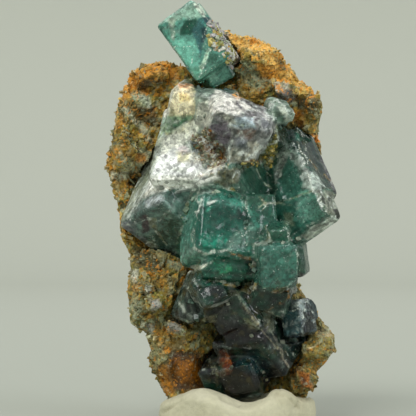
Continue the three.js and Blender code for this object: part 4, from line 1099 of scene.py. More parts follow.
# A course on the front view, a width, a colour, a haze and a strength.
CLUSTER_LINES = [
    ([(226, 167), (210, 174), (190, 181), (170, 187), (150, 190), (144, 197)], 1.6, "#D8C89A", 0.9, 0.8),
    ([(214, 171), (200, 177)], 1.4, "#B46A3A", 0.8, 0.7),
    ([(157, 158), (154, 166), (146, 190), (140, 200), (127, 218), (119, 226)], 1.8, "#D9DCCB", 0.9, 0.85),
    ([(159, 140), (151, 152), (139, 174), (127, 204)], 1.2, "#C5C9AE", 0.8, 0.7),
    ([(152, 170), (142, 192), (132, 206)], 1.0, "#76806C", 0.6, 0.6),
    ([(192, 190), (186, 206), (185, 216), (178, 238), (174, 262)], 1.5, "#8FA283", 0.8, 0.7),
    ([(192, 190), (206, 185), (220, 186), (238, 192)], 1.4, "#B5C4B2", 0.8, 0.7),
    ([(196, 194), (191, 208), (188, 224), (184, 240), (180, 254)], 8.0, "#7FB5A2", 0.5, 0.45),
    # Painted highlights and glints on the phantom cube's chipped corner and edges, partly frosted chips.
    ([(209, 203), (215, 200)], 3.6, "#F8FBF2", 1.0, 0.95),
    ([(199, 191), (195, 197), (197, 203)], 2.4, "#D5DDCB", 0.9, 0.75),
    ([(195, 212), (197, 219), (194, 223)], 2.4, "#D5DDCB", 0.9, 0.75),
    ([(195, 232), (192, 240), (195, 247)], 2.4, "#D5DDCB", 0.9, 0.75),
    ([(199, 205), (202, 199), (196, 212)], 2.2, "#F4F6EA", 1.0, 0.8),
    ([(193, 229), (191, 238), (194, 244)], 2.0, "#E6EADB", 0.9, 0.8),
    ([(193, 248), (204, 254), (213, 252), (222, 251), (230, 250)], 2.2, "#DDE6D6", 0.9, 0.8),
    ([(210, 252), (214, 251)], 3.0, "#F2F5EA", 1.0, 0.9),
    ([(222, 252), (226, 250)], 2.6, "#F2F5EA", 1.0, 0.9),
    ([(202, 214), (212, 206), (208, 212)], 1.4, "#4FC0A0", 0.4, 0.7),
    ([(176, 264), (190, 272), (206, 266), (212, 260)], 1.2, "#B9C9B2", 0.8, 0.7),
    ([(228, 250), (236, 236), (250, 224)], 1.8, "#86A795", 0.5, 0.6),
    ([(232, 250), (240, 238), (252, 228)], 1.2, "#9DB8A8", 0.6, 0.6),
    ([(222, 226), (232, 214), (236, 206)], 1.2, "#4E9A86", 0.4, 0.5),
    ([(231, 253), (244, 257), (256, 261)], 1.5, "#A8641A", 0.9, 0.9),
    ([(238, 192), (244, 206), (254, 216), (262, 226)], 1.6, "#7FC4AC", 0.5, 0.7),
    ([(239, 204), (246, 210), (250, 218)], 1.6, "#9AD6C2", 0.5, 0.7),
    ([(190, 150), (196, 158), (186, 166)], 1.2, "#6F6A46", 0.8, 0.6),
    ([(190, 166), (200, 163), (216, 160)], 1.2, "#F1EFE0", 1.0, 0.7),
    ([(208, 168), (220, 164), (226, 160)], 1.3, "#8B5E34", 0.9, 0.7),
    ([(210, 96), (208, 106), (216, 108)], 1.0, "#78757A", 0.7, 0.7),
    ([(237, 103), (241, 108)], 2.0, "#3A2F44", 0.4, 0.9),
    ([(208, 112), (216, 116), (226, 112), (232, 112)], 1.3, "#5E5F58", 0.6, 0.6),
    ([(217, 90), (231, 96), (252, 108), (262, 112), (275, 123)], 1.4, "#E4E2D8", 0.95, 0.8),
    ([(270, 100), (276, 99), (284, 106), (292, 121)], 1.4, "#E4E8DC", 0.9, 0.8),
    ([(276, 100), (272, 112), (275, 123)], 1.2, "#C9D6C4", 0.8, 0.7),
    ([(276, 124), (274, 134), (268, 144), (258, 156)], 1.3, "#C9CABC", 0.9, 0.7),
    ([(253, 152), (260, 148), (268, 144)], 2.2, "#E6EADF", 1.0, 0.8),
    ([(209, 144), (214, 152), (217, 164), (224, 165)], 1.6, "#A7AFAE", 0.8, 0.8),
    ([(212, 146), (216, 142)], 2.0, "#C9D5D8", 0.9, 0.8),
    ([(229, 164), (224, 176), (226, 186), (233, 190)], 1.3, "#9A8432", 0.9, 0.8),
    ([(233, 188), (236, 190)], 2.6, "#C99A22", 0.95, 0.9),
    ([(242, 162), (254, 160), (262, 160)], 1.6, "#8E5E1C", 0.9, 0.8),
    ([(257, 170), (262, 180), (270, 189)], 1.3, "#9FAF98", 0.8, 0.75),
    ([(270, 174), (274, 180), (276, 189)], 2.0, "#B6BCA4", 0.9, 0.8),
    ([(264, 184), (270, 189)], 1.6, "#C9C29A", 0.9, 0.8),
    ([(258, 207), (265, 204), (275, 203), (288, 205), (297, 209)], 1.3, "#B1B594", 0.8, 0.8),
    ([(260, 198), (266, 206), (262, 210)], 1.3, "#8C8248", 0.85, 0.8),
    ([(275, 203), (284, 200), (298, 196), (312, 190)], 1.3, "#7A7B50", 0.8, 0.8),
    ([(298, 140), (302, 150), (304, 160), (308, 175), (312, 187), (322, 205), (333, 217)],
     1.6, "#B9B79A", 0.9, 0.85),
    ([(292, 140), (298, 152)], 2.2, "#B9C5BA", 0.9, 0.7),
    ([(307, 142), (305, 154), (309, 164)], 1.8, "#C3C8B6", 0.9, 0.8),
    ([(310, 160), (317, 168)], 1.6, "#96701C", 0.9, 0.9),
    ([(325, 175), (335, 185)], 1.6, "#8F6A22", 0.9, 0.9),
    ([(317, 168), (326, 178)], 1.2, "#4C5148", 0.5, 0.8),
    ([(296, 126), (304, 134), (316, 140)], 2.0, "#B9B0BC", 0.9, 0.8),
    ([(312, 186), (318, 190), (334, 186)], 1.2, "#6D6A52", 0.6, 0.6),
    ([(322, 194), (325, 202)], 2.0, "#2A3A33", 0.2, 0.8),
    ([(330, 198), (328, 206)], 2.0, "#2A3A33", 0.2, 0.8),
    ([(336, 192), (338, 202)], 1.8, "#3A3F42", 0.2, 0.7),
    ([(342, 216), (324, 229), (308, 238)], 1.2, "#C9CFC0", 0.9, 0.7),
    ([(322, 222), (336, 214)], 1.4, "#5C6C62", 0.4, 0.7),
    ([(254, 244), (254, 250), (253, 262)], 1.6, "#C9D8C8", 0.9, 0.8),
    ([(260, 290), (276, 291), (288, 287), (297, 280)], 1.3, "#A9C2B0", 0.8, 0.75),
    ([(296, 246), (298, 258), (299, 272)], 1.2, "#B5BFA6", 0.8, 0.75),
    ([(284, 227), (289, 228), (290, 240)], 1.6, "#B9C3AE", 0.85, 0.7),
    ([(266, 226), (268, 234), (267, 240)], 1.2, "#B9A97C", 0.8, 0.7),
    ([(272, 291), (288, 289), (289, 297), (282, 303), (270, 308)], 1.7, "#96641C", 0.9, 0.85),
    ([(172, 272), (173, 286), (178, 300), (186, 314), (192, 318)], 2.0, "#9DA294", 0.85, 0.8),
    ([(181, 278), (188, 290), (196, 300), (204, 309)], 1.5, "#A9AD9E", 0.8, 0.8),
    ([(184, 290), (192, 306), (196, 320)], 1.2, "#8F9686", 0.7, 0.7),
    ([(204, 309), (212, 308), (222, 303), (236, 295)], 1.5, "#A7A9A0", 0.8, 0.8),
    ([(238, 292), (240, 303), (250, 315), (262, 330), (280, 350), (290, 367)], 1.2, "#B4A988", 0.9, 0.9),
    ([(265, 315), (270, 330), (280, 345)], 2.0, "#8B8E7C", 0.8, 0.7),
    ([(188, 322), (202, 321), (212, 318)], 1.5, "#A5A076", 0.8, 0.7),
    ([(210, 340), (225, 349), (240, 348), (255, 349)], 1.3, "#6F7273", 0.7, 0.85),
    ([(196, 340), (206, 350), (210, 362), (213, 374)], 1.6, "#7C7C5C", 0.8, 0.7),
    ([(214, 366), (218, 378)], 1.6, "#9A9A66", 0.8, 0.6),
    ([(244, 386), (262, 384), (282, 374)], 1.0, "#4E5354", 0.5, 0.6),
    ([(162, 262), (170, 270), (176, 276)], 1.8, "#8D855A", 0.8, 0.8),
    ([(152, 226), (160, 236), (166, 244)], 1.3, "#8E8B5C", 0.8, 0.7),
    ([(134, 238), (140, 250), (150, 249), (160, 258)], 1.3, "#98946E", 0.8, 0.6),
    ([(176, 198), (168, 212), (160, 220)], 1.2, "#9CB0A6", 0.7, 0.6),
]
cluster_front = smooth_step(-0.2, 0.2, -cluster_skin.normals()[:, 1])
paint_from_tables(cluster_skin, CLUSTER_AREAS, CLUSTER_LINES, 71, cluster_front)
pale_part = smooth_step(0.3, 0.6, cluster_skin.tint.mean(axis=1)) * cluster_front
strokes = streaks(cluster_skin.points, (0.75, 0.2, -0.65), 0.38, 6, 78)
cluster_skin.brush(0.45 * pale_part * smooth_step(0.25, 0.6, strokes), "#7F8C78")
stains = smooth_step(0.45, 0.65, layered_noise(cluster_skin.points, 0.8, 79))
cluster_skin.brush(0.3 * pale_part * stains, "#C4B05A")
# The step under the pale face lies in shade, so it gets the palest tone of all.
SHADED_STEP = [(144, 178), (212, 170), (220, 178), (196, 188), (150, 198), (142, 198)]
under = area(cluster_skin.places, SHADED_STEP, 3)
under *= smooth_step(0.0, 0.4, -cluster_skin.normals()[:, 2])
under *= smooth_step(0.3, 0.0, cluster_skin.normals()[:, 1])
cluster_skin.brush(0.9 * under, "#FDFDF6", 0.97)
# The dark cubes at the foot are dusted with green, olive, purple and black: size, seed, colour, strength.
FOOT_DUST = [
    (2.6, 81, "#24503C", 0.65),
    (0.9, 82, "#5E5636", 0.6),
    (1.3, 84, "#3A2A34", 0.5),
    (0.5, 83, "#0A120F", 0.75),
]
foot = smooth_step(24, 18, cluster_skin.points[:, 2]) * cluster_front
for size, seed, colour, strength in FOOT_DUST:
    dusted = smooth_step(0.12, 0.4, layered_noise(cluster_skin.points, size, seed))
    cluster_skin.brush(strength * foot * dusted, colour)
cluster_skin.frost *= 1 - 0.6 * foot
fine_contrast(cluster_skin, 76, 1 - 0.85 * foot)
cluster_skin.finish_paint()
print("cluster areas painted:", len(CLUSTER_AREAS), "and lines:", len(CLUSTER_LINES))

# %% [markdown]
# Fluorite's finish: a clear crystal with a low index of refraction, 1.434, so its gloss is soft. The
# green is in the crystal itself, which a plain absorption gives: red light is lost first. Where the
# surface is milky (etched, coated or full of fine cracks) less light passes and more is scattered.

# %% Fluorite material
FLUORITE_IOR = 1.434


def fluorite_material(name, absorbed, density, clearness):
    """Etched fluorite: a see-through body with a soft gloss, cloudy where haze or frost is painted."""
    material = bpy.data.materials.new(name)
    material.use_nodes = True
    tree = material.node_tree
    shader = tree.nodes["Principled BSDF"]
    shader.inputs["IOR"].default_value = FLUORITE_IOR
    place = add(tree, "TexCoord").outputs["Object"]
    paint = add(tree, "Attribute", attribute_name="tint").outputs["Color"]
    haze = add(tree, "Attribute", attribute_name="haze").outputs["Fac"]
    fine = add(
        tree, "TexNoise",
        {"Vector": place, "Scale": 1 / (0.55 * MM), "Detail": 6.0, "Roughness": 0.85},
    )
    shade = add(
        tree, "MapRange",
        {"Value": fine.outputs["Fac"], "From Min": 0.36, "From Max": 0.64, "To Min": 0.5, "To Max": 1.5},
    )
    toned = add(tree, "VectorMath", {0: paint, "Scale": shade.outputs["Result"]}, operation="SCALE")
    # Broken crystal is a mosaic of small facets that each catch the light in their own way.
    mosaic = add(tree, "TexVoronoi", {"Vector": place, "Scale": 1 / (0.6 * MM), "Randomness": 1.0})
    facet_tone = add(tree, "SeparateColor", {"Color": mosaic.outputs["Color"]})
    # A clear face is nearly unmarked, and a hazy one is full of veils, cracks and pits.
    marked = add(tree, "MapRange", {"Value": haze, "From Min": 0.2, "From Max": 0.65, "To Min": 0.15})
    # Healed cracks show as pale veils: a noise drawn out four to one, where it is strongest.
    drawn = add(tree, "Mapping", {"Vector": place, "Rotation": (0.6, 0.3, 0.9), "Scale": (1.0, 0.25, 1.0)})
    veil = add(
        tree, "TexNoise",
        {"Vector": drawn.outputs["Vector"], "Scale": 1 / (1.1 * MM), "Detail": 5.0, "Roughness": 0.72},
    )
    healed = add(
        tree, "MapRange",
        {"Value": veil.outputs["Fac"], "From Min": 0.56, "From Max": 0.66, "To Max": 0.6},
    )
    healing = add(
        tree, "Math",
        {0: healed.outputs["Result"], 1: marked.outputs["Result"]}, operation="MULTIPLY",
    )
    vein_tone = add(tree, "Mix", {0: 0.5, 6: paint, 7: rgba("#CDD8CC")}, data_type="RGBA")
    swing = add(tree, "Math", {0: facet_tone.outputs["Red"], 1: 0.5}, operation="SUBTRACT")
    tipped = add(
        tree, "Math",
        {0: swing.outputs["Value"], 1: marked.outputs["Result"]}, operation="MULTIPLY",
    )
    facet_light = add(tree, "Math", {0: tipped.outputs["Value"], 1: 1.1, 2: 1.0}, operation="MULTIPLY_ADD")
    tiled = add(
        tree, "VectorMath",
        {0: toned.outputs["Vector"], "Scale": facet_light.outputs["Value"]}, operation="SCALE",
    )
    veiled = add(
        tree, "Mix",
        {0: healing.outputs["Value"], 6: tiled.outputs["Vector"], 7: vein_tone.outputs[2]},
        data_type="RGBA",
    )
    # Thin cracks follow the places where a slow noise passes through one value, pale or dark.
    bent = add(
        tree, "TexNoise",
        {"Vector": drawn.outputs["Vector"], "Scale": 1 / (2.4 * MM), "Detail": 5.0, "Roughness": 0.65},
    )
    off_line = add(tree, "Math", {0: bent.outputs["Fac"], 1: 0.5}, operation="SUBTRACT")
    from_line = add(tree, "Math", {0: off_line.outputs["Value"]}, operation="ABSOLUTE")
    crack = add(
        tree, "MapRange",
        {"Value": from_line.outputs["Value"], "From Min": 0.014, "From Max": 0.004, "To Max": 0.6},
    )
    cracking = add(
        tree, "Math",
        {0: crack.outputs["Result"], 1: marked.outputs["Result"]}, operation="MULTIPLY",
    )
    cracked = add(
        tree, "Mix",
        {0: cracking.outputs["Value"], 6: veiled.outputs[2], 7: vein_tone.outputs[2]}, data_type="RGBA",
    )
    dark_off = add(tree, "Math", {0: bent.outputs["Fac"], 1: 0.56}, operation="SUBTRACT")
    from_dark = add(tree, "Math", {0: dark_off.outputs["Value"]}, operation="ABSOLUTE")
    seam = add(
        tree, "MapRange",
        {"Value": from_dark.outputs["Value"], "From Min": 0.014, "From Max": 0.004, "To Max": 0.5},
    )
    seaming = add(
        tree, "Math",
        {0: seam.outputs["Result"], 1: marked.outputs["Result"]}, operation="MULTIPLY",
    )
    seamed = add(
        tree, "Mix",
        {0: seaming.outputs["Value"], 6: cracked.outputs[2], 7: rgba("#1E3A30")}, data_type="RGBA",
    )
    # Painted glints and frosting: facets a fifth of a millimetre wide, painted bright where
    # the frost is thick, with a dark pit here and there.
    frost = add(tree, "Attribute", attribute_name="frost").outputs["Fac"]
    facet = add(
        tree, "TexNoise",
        {"Vector": place, "Scale": 1 / (0.22 * MM), "Detail": 2.0, "Roughness": 0.65},
    )
    raised = add(tree, "Math", {0: frost, 1: 0.4, 2: facet.outputs["Fac"]}, operation="MULTIPLY_ADD")
    spark = add(
        tree, "MapRange",
        {"Value": raised.outputs["Value"], "From Min": 0.7, "From Max": 0.75, "To Max": 0.85},
    )
    pit = add(
        tree, "MapRange",
        {"Value": facet.outputs["Fac"], "From Min": 0.38, "From Max": 0.32, "To Max": 0.6},
    )
    pitting = add(
        tree, "Math",
        {0: pit.outputs["Result"], 1: marked.outputs["Result"]}, operation="MULTIPLY",
    )
    pitted = add(
        tree, "Mix",
        {0: pitting.outputs["Value"], 6: seamed.outputs[2], 7: rgba("#14281F")}, data_type="RGBA",
    )
    colour = add(
        tree, "Mix",
        {0: spark.outputs["Result"], 6: pitted.outputs[2], 7: rgba("#E4EBE0")}, data_type="RGBA",
    )
    tree.links.new(colour.outputs[2], shader.inputs["Base Color"])
    cloudy = add(tree, "Math", {0: haze, 1: healing.outputs["Value"]}, operation="MAXIMUM")
    milky = add(tree, "Math", {0: cloudy.outputs["Value"], 1: spark.outputs["Result"]}, operation="MAXIMUM")
    clear = add(tree, "MapRange", {"Value": milky.outputs["Value"], "To Min": clearness, "To Max": 0.02})
    tree.links.new(clear.outputs["Result"], shader.inputs["Transmission Weight"])
    rough = add(tree, "MapRange", {"Value": milky.outputs["Value"], "To Min": 0.07, "To Max": 0.5})
    tree.links.new(rough.outputs["Result"], shader.inputs["Roughness"])
    etched = add(
        tree, "TexNoise",
        {"Vector": place, "Scale": 1 / (0.24 * MM), "Detail": 3.0, "Roughness": 0.6},
    )
    bump = add(tree, "Bump", {"Height": etched.outputs["Fac"], "Strength": 0.4, "Distance": 0.05 * MM})
    tree.links.new(bump.outputs["Normal"], shader.inputs["Normal"])
    inside = add(tree, "VolumeAbsorption", {"Color": rgba(absorbed), "Density": density})
    tree.links.new(inside.outputs["Volume"], tree.nodes["Material Output"].inputs["Volume"])
    return material


green_fluorite = fluorite_material("fluorite_green_etched", "#7FD0BC", 190.0, 0.72)
pale_fluorite = fluorite_material("fluorite_pale_green", "#A8DCCB", 120.0, 0.72)
blue_fluorite = fluorite_material("fluorite_dark_blue", "#6F93A0", 260.0, 0.6)
settle(cluster, ["fluorite_cluster"], green_fluorite)
print("fluorite material nodes:", len(green_fluorite.node_tree.nodes))

# %% [markdown]
# Tiny cubes grow along the seams where the large ones meet. They catch the light one by one, and
# they fill the dark corners, as the crust of small crystals does on the real specimen.

# %% Crust of small crystals
cluster_box = [np.array(corner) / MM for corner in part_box("fluorite_cluster")]
cluster_hollow = smooth_step(0.09, 0.3, -cluster_skin.bulge(10))
small_cubes = crust(
    "fluorite_crust", cluster_skin, scatter(cluster_skin, 420, cluster_hollow, 65), 66, "cube",
    (0.3, 0.9), (0.7, 1.0),
    ["#7FA08F", "#A9B39C", "#5F7A68", "#8C8A62", "#C0C4B0", "#4E6E5F"],
    0.4, 0.55, 0.35, cluster_box,
)
settle(small_cubes, [], green_fluorite)

# %% [markdown]
# Two places are filled with crumbs of rock: the brown crevice under the purple cube, and the yellow
# clay between that cube and the great right one.

# %% Crumbs in the crevices
# A name, an outline on the front view, a count, a seed and the crumbs' colours.
CRUMBS = [
    ("crevice_crumbs",
     [(192, 136), (206, 128), (212, 134), (222, 150), (228, 166), (212, 170), (196, 158)], 150, 67,
     ["#5A3A18", "#7A5A2A", "#3A2612", "#8F8A5A", "#A9A588", "#6B4A2A", "#44502F"]),
    ("clay_crumbs",
     [(262, 158), (272, 136), (278, 134), (276, 150), (270, 166), (250, 168), (240, 164)], 60, 69,
     ["#8F8432", "#A1903C", "#6C6536", "#B59A3E"]),
]
facing = smooth_step(-0.1, 0.4, -cluster_skin.normals()[:, 1])
for name, outline, count, seed, palette in CRUMBS:
    where = area(cluster_skin.places, outline, 2) * facing
    crumbs = crust(
        name, cluster_skin, scatter(cluster_skin, count, where, seed), seed + 1, "grain",
        (0.3, 0.9), (0.5, 0.9), palette, 0.25, 0.8, 0.5, cluster_box,
    )
    settle(crumbs, [], skarn)

# %% [markdown]
# The two crystals that stand apart from the cluster are made the same way: the pale cube that stands
# on the top with a dark one at its foot, and the small dark blue cube at the lower right.

# %% The top cube and the lower right cube
TOP_AREAS = [
    ([(155, 24), (170, 14), (195, 0), (204, 8),
      (206, 15), (196, 20), (184, 20), (168, 24)], "#ACD0BC", 0.45, 0.9, 2),
    ([(168, 20), (176, 18), (174, 40), (170, 38)], "#AAB9A4", 0.55, 0.85, 2),
    ([(180, 34), (184, 21), (198, 18), (197, 24), (191, 35)], "#2A6B58", 0.1, 0.95, 1.5),
    ([(172, 44), (182, 36), (195, 38), (198, 46),
      (201, 66), (196, 74), (188, 66), (178, 54)], "#92E6CE", 0.3, 0.9, 2),
    ([(192, 30), (200, 18), (209, 17), (203, 30),
      (202, 44), (200, 58), (197, 46)], "#4A8488", 0.2, 0.9, 1.5),
    ([(201, 28), (206, 26), (204, 44), (201, 42)], "#2A4656", 0.15, 0.85, 1.5),
    ([(203, 16), (210, 17), (212, 22), (207, 25)], "#2C4B56", 0.3, 0.85, 1),
    ([(206, 49), (210, 50), (207, 61), (201, 71), (200, 65), (204, 57)], "#B7D2B7", 0.8, 0.9, 1),
    ([(190, 66), (201, 66), (197, 80), (192, 76)], "#79C2A5", 0.35, 0.85, 1.5),
    ([(192, 2), (198, 2), (207, 14), (204, 15), (196, 8)], "#C5CDBB", 0.8, 0.8, 1.2),
    ([(211, 49), (222, 61), (229, 71), (229, 84),
      (212, 84), (198, 82), (202, 71), (207, 61)], "#70B09A", 0.25, 0.9, 1.5),
    ([(210, 50), (218, 54), (216, 64), (209, 62)], "#437866", 0.2, 0.8, 1.5),
    ([(200, 72), (214, 72), (220, 80), (200, 80)], "#86B8A2", 0.4, 0.8, 2),
]
TOP_LINES = [
    ([(156, 25), (165, 41), (176, 58), (189, 76)], 2.2, "#3B6B63", 0.3, 0.85),
    ([(159, 21), (163, 17)], 2.2, "#E4EBDD", 0.9, 0.8),
    ([(156, 24), (170, 14), (186, 6)], 1.4, "#8FB3A4", 0.6, 0.7),
    ([(188, 44), (189, 47)], 1.8, "#DDEFE2", 0.9, 0.8),
    ([(192, 59), (193, 62)], 2.2, "#D5EFE0", 0.9, 0.9),
    ([(206, 28), (203, 36), (204, 44), (210, 50)], 1.4, "#A9B7A6", 0.8, 0.8),
    ([(207, 62), (201, 72), (196, 81)], 1.2, "#CFE2CE", 0.85, 0.8),
    ([(178, 62), (186, 72), (192, 80)], 1.0, "#9FCBB4", 0.6, 0.6),
    ([(186, 60), (189, 64)], 2.0, "#4E8A70", 0.3, 0.6),
]
# Painted light and shade: the lower right cube's top facet is painted light, its right face dark.
BLUE_AREAS = [
    ([(290, 297), (306, 296), (311, 305), (306, 312), (292, 310)], "#93A2A2", 0.6, 0.95, 1.2),
    ([(284, 312), (298, 309), (303, 318), (302, 332), (292, 344), (282, 334)], "#34585E", 0.5, 0.95, 1.2),
    ([(303, 312), (312, 312), (318, 326), (308, 334), (302, 328)], "#0E151C", 0.55, 0.95, 1),
    ([(300, 330), (310, 332), (310, 342), (300, 344)], "#1A242E", 0.5, 0.9, 1.5),
    ([(304, 302), (310, 304), (313, 311), (306, 310)], "#2A3238", 0.25, 0.8, 1.2),
    ([(286, 336), (300, 334), (304, 340), (292, 346)], "#2B3140", 0.25, 0.8, 1.5),
]
BLUE_LINES = [
    ([(290, 311), (303, 310), (310, 309), (314, 313)], 1.3, "#A8B3AE", 0.85, 0.85),
    ([(302, 310), (304, 320), (302, 332), (303, 344)], 1.2, "#7E8C8C", 0.8, 0.8),
    ([(286, 322), (288, 336)], 1.2, "#5E8286", 0.6, 0.6),
    ([(290, 298), (284, 312), (281, 324)], 1.4, "#7C8783", 0.7, 0.7),
    ([(308, 318), (314, 321)], 1.3, "#8FA0A6", 0.8, 0.7),
]


TOP_NET = 0.16
BLUE_NET = 0.14


def small_crystal(node, name, cubes, seed, spacing, areas, lines, material):
    """The skin of a crystal that stands apart, made and painted as the cluster's is."""
    piece, skin = fine_copy(node, name, spacing)
    frames = CubeFrames(skin.points, cubes)
    rise = grow_plates(skin, frames, seed, height=0.06, per_face=4, pits=10)
    shift = np.clip(rise + etch(skin, frames, seed + 6, 0.7) - 0.12, -0.4, 0.05)
    skin.move(skin.normals() * shift[:, None])
    fluorite_paint(skin, frames, seed + 1)
    front = smooth_step(-0.2, 0.2, -skin.normals()[:, 1])
    paint_from_tables(skin, areas, lines, seed + 2, front)
    fine_contrast(skin, seed + 8)
    skin.finish_paint()
    settle(piece, [node], material)
    return skin


top_skin = small_crystal(
    "fluorite_top_cube", "fluorite_top_cube_skin", ["top", "dark at its foot"],
    820, TOP_NET, TOP_AREAS, TOP_LINES, pale_fluorite,
)
small_crystal(
    "fluorite_lower_right_cube", "fluorite_lower_right_skin", ["dark blue"],
    840, BLUE_NET, BLUE_AREAS, BLUE_LINES, blue_fluorite,
)

# %% [markdown]
# The rock laps over the right side of the top cube, so grains of it are set there too.

# %% Rock over the top cube's side
whole_box = [np.array(corner) / MM for corner in cad_box]
LAPPED_SIDE = [(212, 22), (226, 32), (242, 50), (246, 70), (232, 68), (220, 54), (210, 44), (209, 30)]
lapped = area(top_skin.places, LAPPED_SIDE, 2)
lapped *= smooth_step(-0.1, 0.3, -top_skin.normals()[:, 1])
lap_grains = crust(
    "rock_over_top_cube", top_skin, scatter(top_skin, 360, lapped, 73), 74, "grain",
    (0.5, 1.4), (0.5, 0.9),
    ["#9A989A", "#B2B4A8", "#86864A", "#A59A5C", "#C5C3B8", "#8A8886", "#8F9680"],
    0.0, 0.85, 0.5, whole_box,
)
settle(lap_grains, [], skarn)

# %% [markdown]
# The phantoms give this fluorite its name: ghosts of smaller, earlier cubes inside the clear ones,
# left by a thin layer of another colour. Each is a smaller cube in the frame of its host, with eased
# edges and a slightly uneven surface, dusted with colour so that it shows through the clear skin.
# It is part of its host's crystal, so it has no solid of its own in the CAD.

# %% Phantoms
PHANTOM_IOR = 1.12  # only a small step where crystal meets crystal


def phantom_cube(name, host, scale, shift, colour, clearness, roughness):
    centre, size, turn = CUBES[host][:3]
    bm = bmesh.new()
    bmesh.ops.create_cube(bm, size=1.0)
    bmesh.ops.scale(bm, vec=[s * k * MM for s, k in zip(size, scale)], verts=bm.verts)
    ease = 0.09 * min(s * k for s, k in zip(size, scale)) * MM
    bmesh.ops.bevel(
        bm, geom=bm.edges[:], offset=ease, segments=2, profile=0.5, affect="EDGES", material=-1
    )
    bmesh.ops.subdivide_edges(bm, edges=bm.edges, cuts=5, use_grid_fill=True)
    bmesh.ops.triangulate(bm, faces=[f for f in bm.faces if len(f.verts) > 4])
    points = np.array([v.co for v in bm.verts]) / MM
    ripple = np.stack([layered_noise(points + 40, 1.4, s) for s in (91, 92, 93)], axis=1) * 0.09
    for vertex, offset in zip(bm.verts, ripple):
        vertex.co += Vector(offset) * MM
    host_place = Matrix.Translation(Vector(centre) * MM) @ turned(turn).to_4x4()
    place = host_place @ Matrix.Translation(Vector(shift) * MM)
    bmesh.ops.transform(bm, matrix=place, verts=bm.verts)
    bmesh.ops.recalc_face_normals(bm, faces=bm.faces)
    for face in bm.faces:
        face.smooth = True
    mesh = bpy.data.meshes.new(name)
    bm.to_mesh(mesh)
    bm.free()
    piece = bpy.data.objects.new(name, mesh)
    bpy.context.scene.collection.objects.link(piece)
    settle(piece, [], phantom_material(name, colour, clearness, roughness))


def phantom_material(name, colour, clearness, roughness):
    material = bpy.data.materials.new("fluorite_phantom_" + name)
    material.use_nodes = True
    tree = material.node_tree
    shader = tree.nodes["Principled BSDF"]
    shader.inputs["IOR"].default_value = PHANTOM_IOR
    shader.inputs["Roughness"].default_value = roughness
    place = add(tree, "TexCoord").outputs["Object"]
    dust = add(
        tree, "TexNoise",
        {"Vector": place, "Scale": 1 / (1.1 * MM), "Detail": 4.0, "Roughness": 0.7},
    )
    shade = add(
        tree, "MapRange",
        {"Value": dust.outputs["Fac"], "From Min": 0.35, "From Max": 0.65, "To Min": 0.6, "To Max": 1.3},
    )
    toned = add(
        tree, "VectorMath",
        {0: linear(colour), "Scale": shade.outputs["Result"]}, operation="SCALE",
    )
    tree.links.new(toned.outputs["Vector"], shader.inputs["Base Color"])
    clear = add(
        tree, "MapRange",
        {"Value": dust.outputs["Fac"], "From Min": 0.4, "From Max": 0.62,
         "To Min": clearness, "To Max": clearness * 0.4},
    )
    tree.links.new(clear.outputs["Result"], shader.inputs["Transmission Weight"])
    return material


# A name, its host, its share of the host's edges, its shift in mm, its colour, clearness and roughness.
PHANTOMS = [
    ("phantom_in_middle", "phantom", (0.7, 0.72, 0.68), (0.4, 0.3, -0.3), "#2E9C80", 0.55, 0.3),
    ("phantom_core", "phantom", (0.36, 0.4, 0.36), (0.6, 0.6, 0.2), "#0F4A3C", 0.4, 0.3),
    ("phantom_in_right", "great right", (0.62, 0.66, 0.62), (-0.8, 0.2, -0.6), "#1F5F4E", 0.5, 0.3),
    ("phantom_in_left", "great left", (0.7, 0.66, 0.68), (0.2, 0, 0.2), "#4B7A6C", 0.5, 0.35),
    ("phantom_in_front", "lower front", (0.62, 0.66, 0.62), (0.1, 0.3, 0.2), "#4C9A7E", 0.5, 0.3),
    ("phantom_in_purple", "purple", (0.6, 0.62, 0.56), (0.1, 0.1, -0.2), "#6A5568", 0.45, 0.35),
    ("phantom_in_bottom", "dark bottom", (0.55, 0.56, 0.56), (0.2, 0.2, -0.4), "#2F5B66", 0.4, 0.35),
    ("phantom_in_top", "top", (0.55, 0.56, 0.52), (0.3, 0, 0.8), "#2F7562", 0.45, 0.3),
]
for entry in PHANTOMS:
    phantom_cube(*entry)
print("phantoms:", len(PHANTOMS))

# %% [markdown]
# ## The putty
# The specimen is pressed into a lump of off-white putty. It is soft and matt, with a few creases
# and small pits where it was pulled. Shallow noise shapes it, and the pits and creases on the front
# are pressed in where the real lump has them.

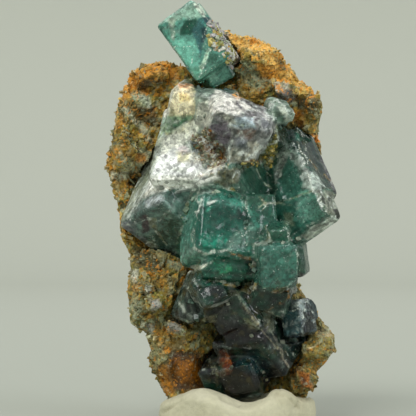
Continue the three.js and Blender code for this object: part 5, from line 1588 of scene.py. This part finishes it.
# %% Putty
PUTTY_NET = 0.25
TORN_PART = [(268, 388), (284, 380), (308, 396), (306, 412), (280, 404)]
CREASES = [
    [(180, 400), (172, 406), (162, 412)],
    [(276, 392), (288, 396), (300, 408)],
    [(222, 397), (240, 404)],
]
putty, putty_skin = fine_copy("mounting_putty", "putty_skin", PUTTY_NET)
putty_skin.move(putty_skin.averaged(putty_skin.points, 6) - putty_skin.points)
pressed = 0.16 * layered_noise(putty_skin.points, 2.4, 51) - 0.16
rough_part = area(putty_skin.places, TORN_PART, 4)
pressed -= 0.3 * rough_part * smooth_step(0.1, 0.6, layered_noise(putty_skin.points, 1.0, 53))
for course in CREASES:
    pressed -= 0.22 * line(putty_skin.places, course, 2.4, 2.0)
free = smooth_step(0.15, 0.8, putty_skin.points[:, 2])
putty_skin.move(putty_skin.normals() * (pressed * free)[:, None])
putty_low, putty_high = [np.array(corner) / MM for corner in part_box("mounting_putty")]
putty_skin.move(np.clip(putty_skin.points, putty_low, putty_high) - putty_skin.points)

putty_skin.brush(np.ones(len(putty_skin.points)), "#C6C2A6", 1.0)
putty_skin.brush(0.5 * smooth_step(0.1, 0.6, layered_noise(putty_skin.points, 3.0, 57)), "#CECAB2")
# Painted shade darkens the putty's creases and hollows.
putty_skin.brush(0.8 * smooth_step(0.01, 0.16, -putty_skin.bulge(10)), "#8F886C")
putty_skin.brush(0.35 * rough_part, "#ACA588")
putty_skin.finish_paint()


def putty_material():
    """Kneaded putty: matt and powdery; its folds show by soft shade, deepened by painted shade in the
    creases.
    """
    material = bpy.data.materials.new("matte_mounting_putty")
    material.use_nodes = True
    tree = material.node_tree
    shader = tree.nodes["Principled BSDF"]
    shader.inputs["Roughness"].default_value = 0.8
    shader.inputs["Specular IOR Level"].default_value = 0.35
    place = add(tree, "TexCoord").outputs["Object"]
    paint = add(tree, "Attribute", attribute_name="tint").outputs["Color"]
    powder = add(
        tree, "TexNoise",
        {"Vector": place, "Scale": 1 / (0.6 * MM), "Detail": 4.0, "Roughness": 0.6},
    )
    shade = add(
        tree, "MapRange",
        {"Value": powder.outputs["Fac"], "From Min": 0.3, "From Max": 0.7, "To Min": 0.92, "To Max": 1.06},
    )
    toned = add(tree, "VectorMath", {0: paint, "Scale": shade.outputs["Result"]}, operation="SCALE")
    tree.links.new(toned.outputs["Vector"], shader.inputs["Base Color"])
    bump = add(tree, "Bump", {"Height": powder.outputs["Fac"], "Strength": 0.8, "Distance": 0.14 * MM})
    tree.links.new(bump.outputs["Normal"], shader.inputs["Normal"])
    return material


settle(putty, ["mounting_putty"], putty_material())
print("putty pressed in by up to", round(float(-pressed.min()), 2), "mm")
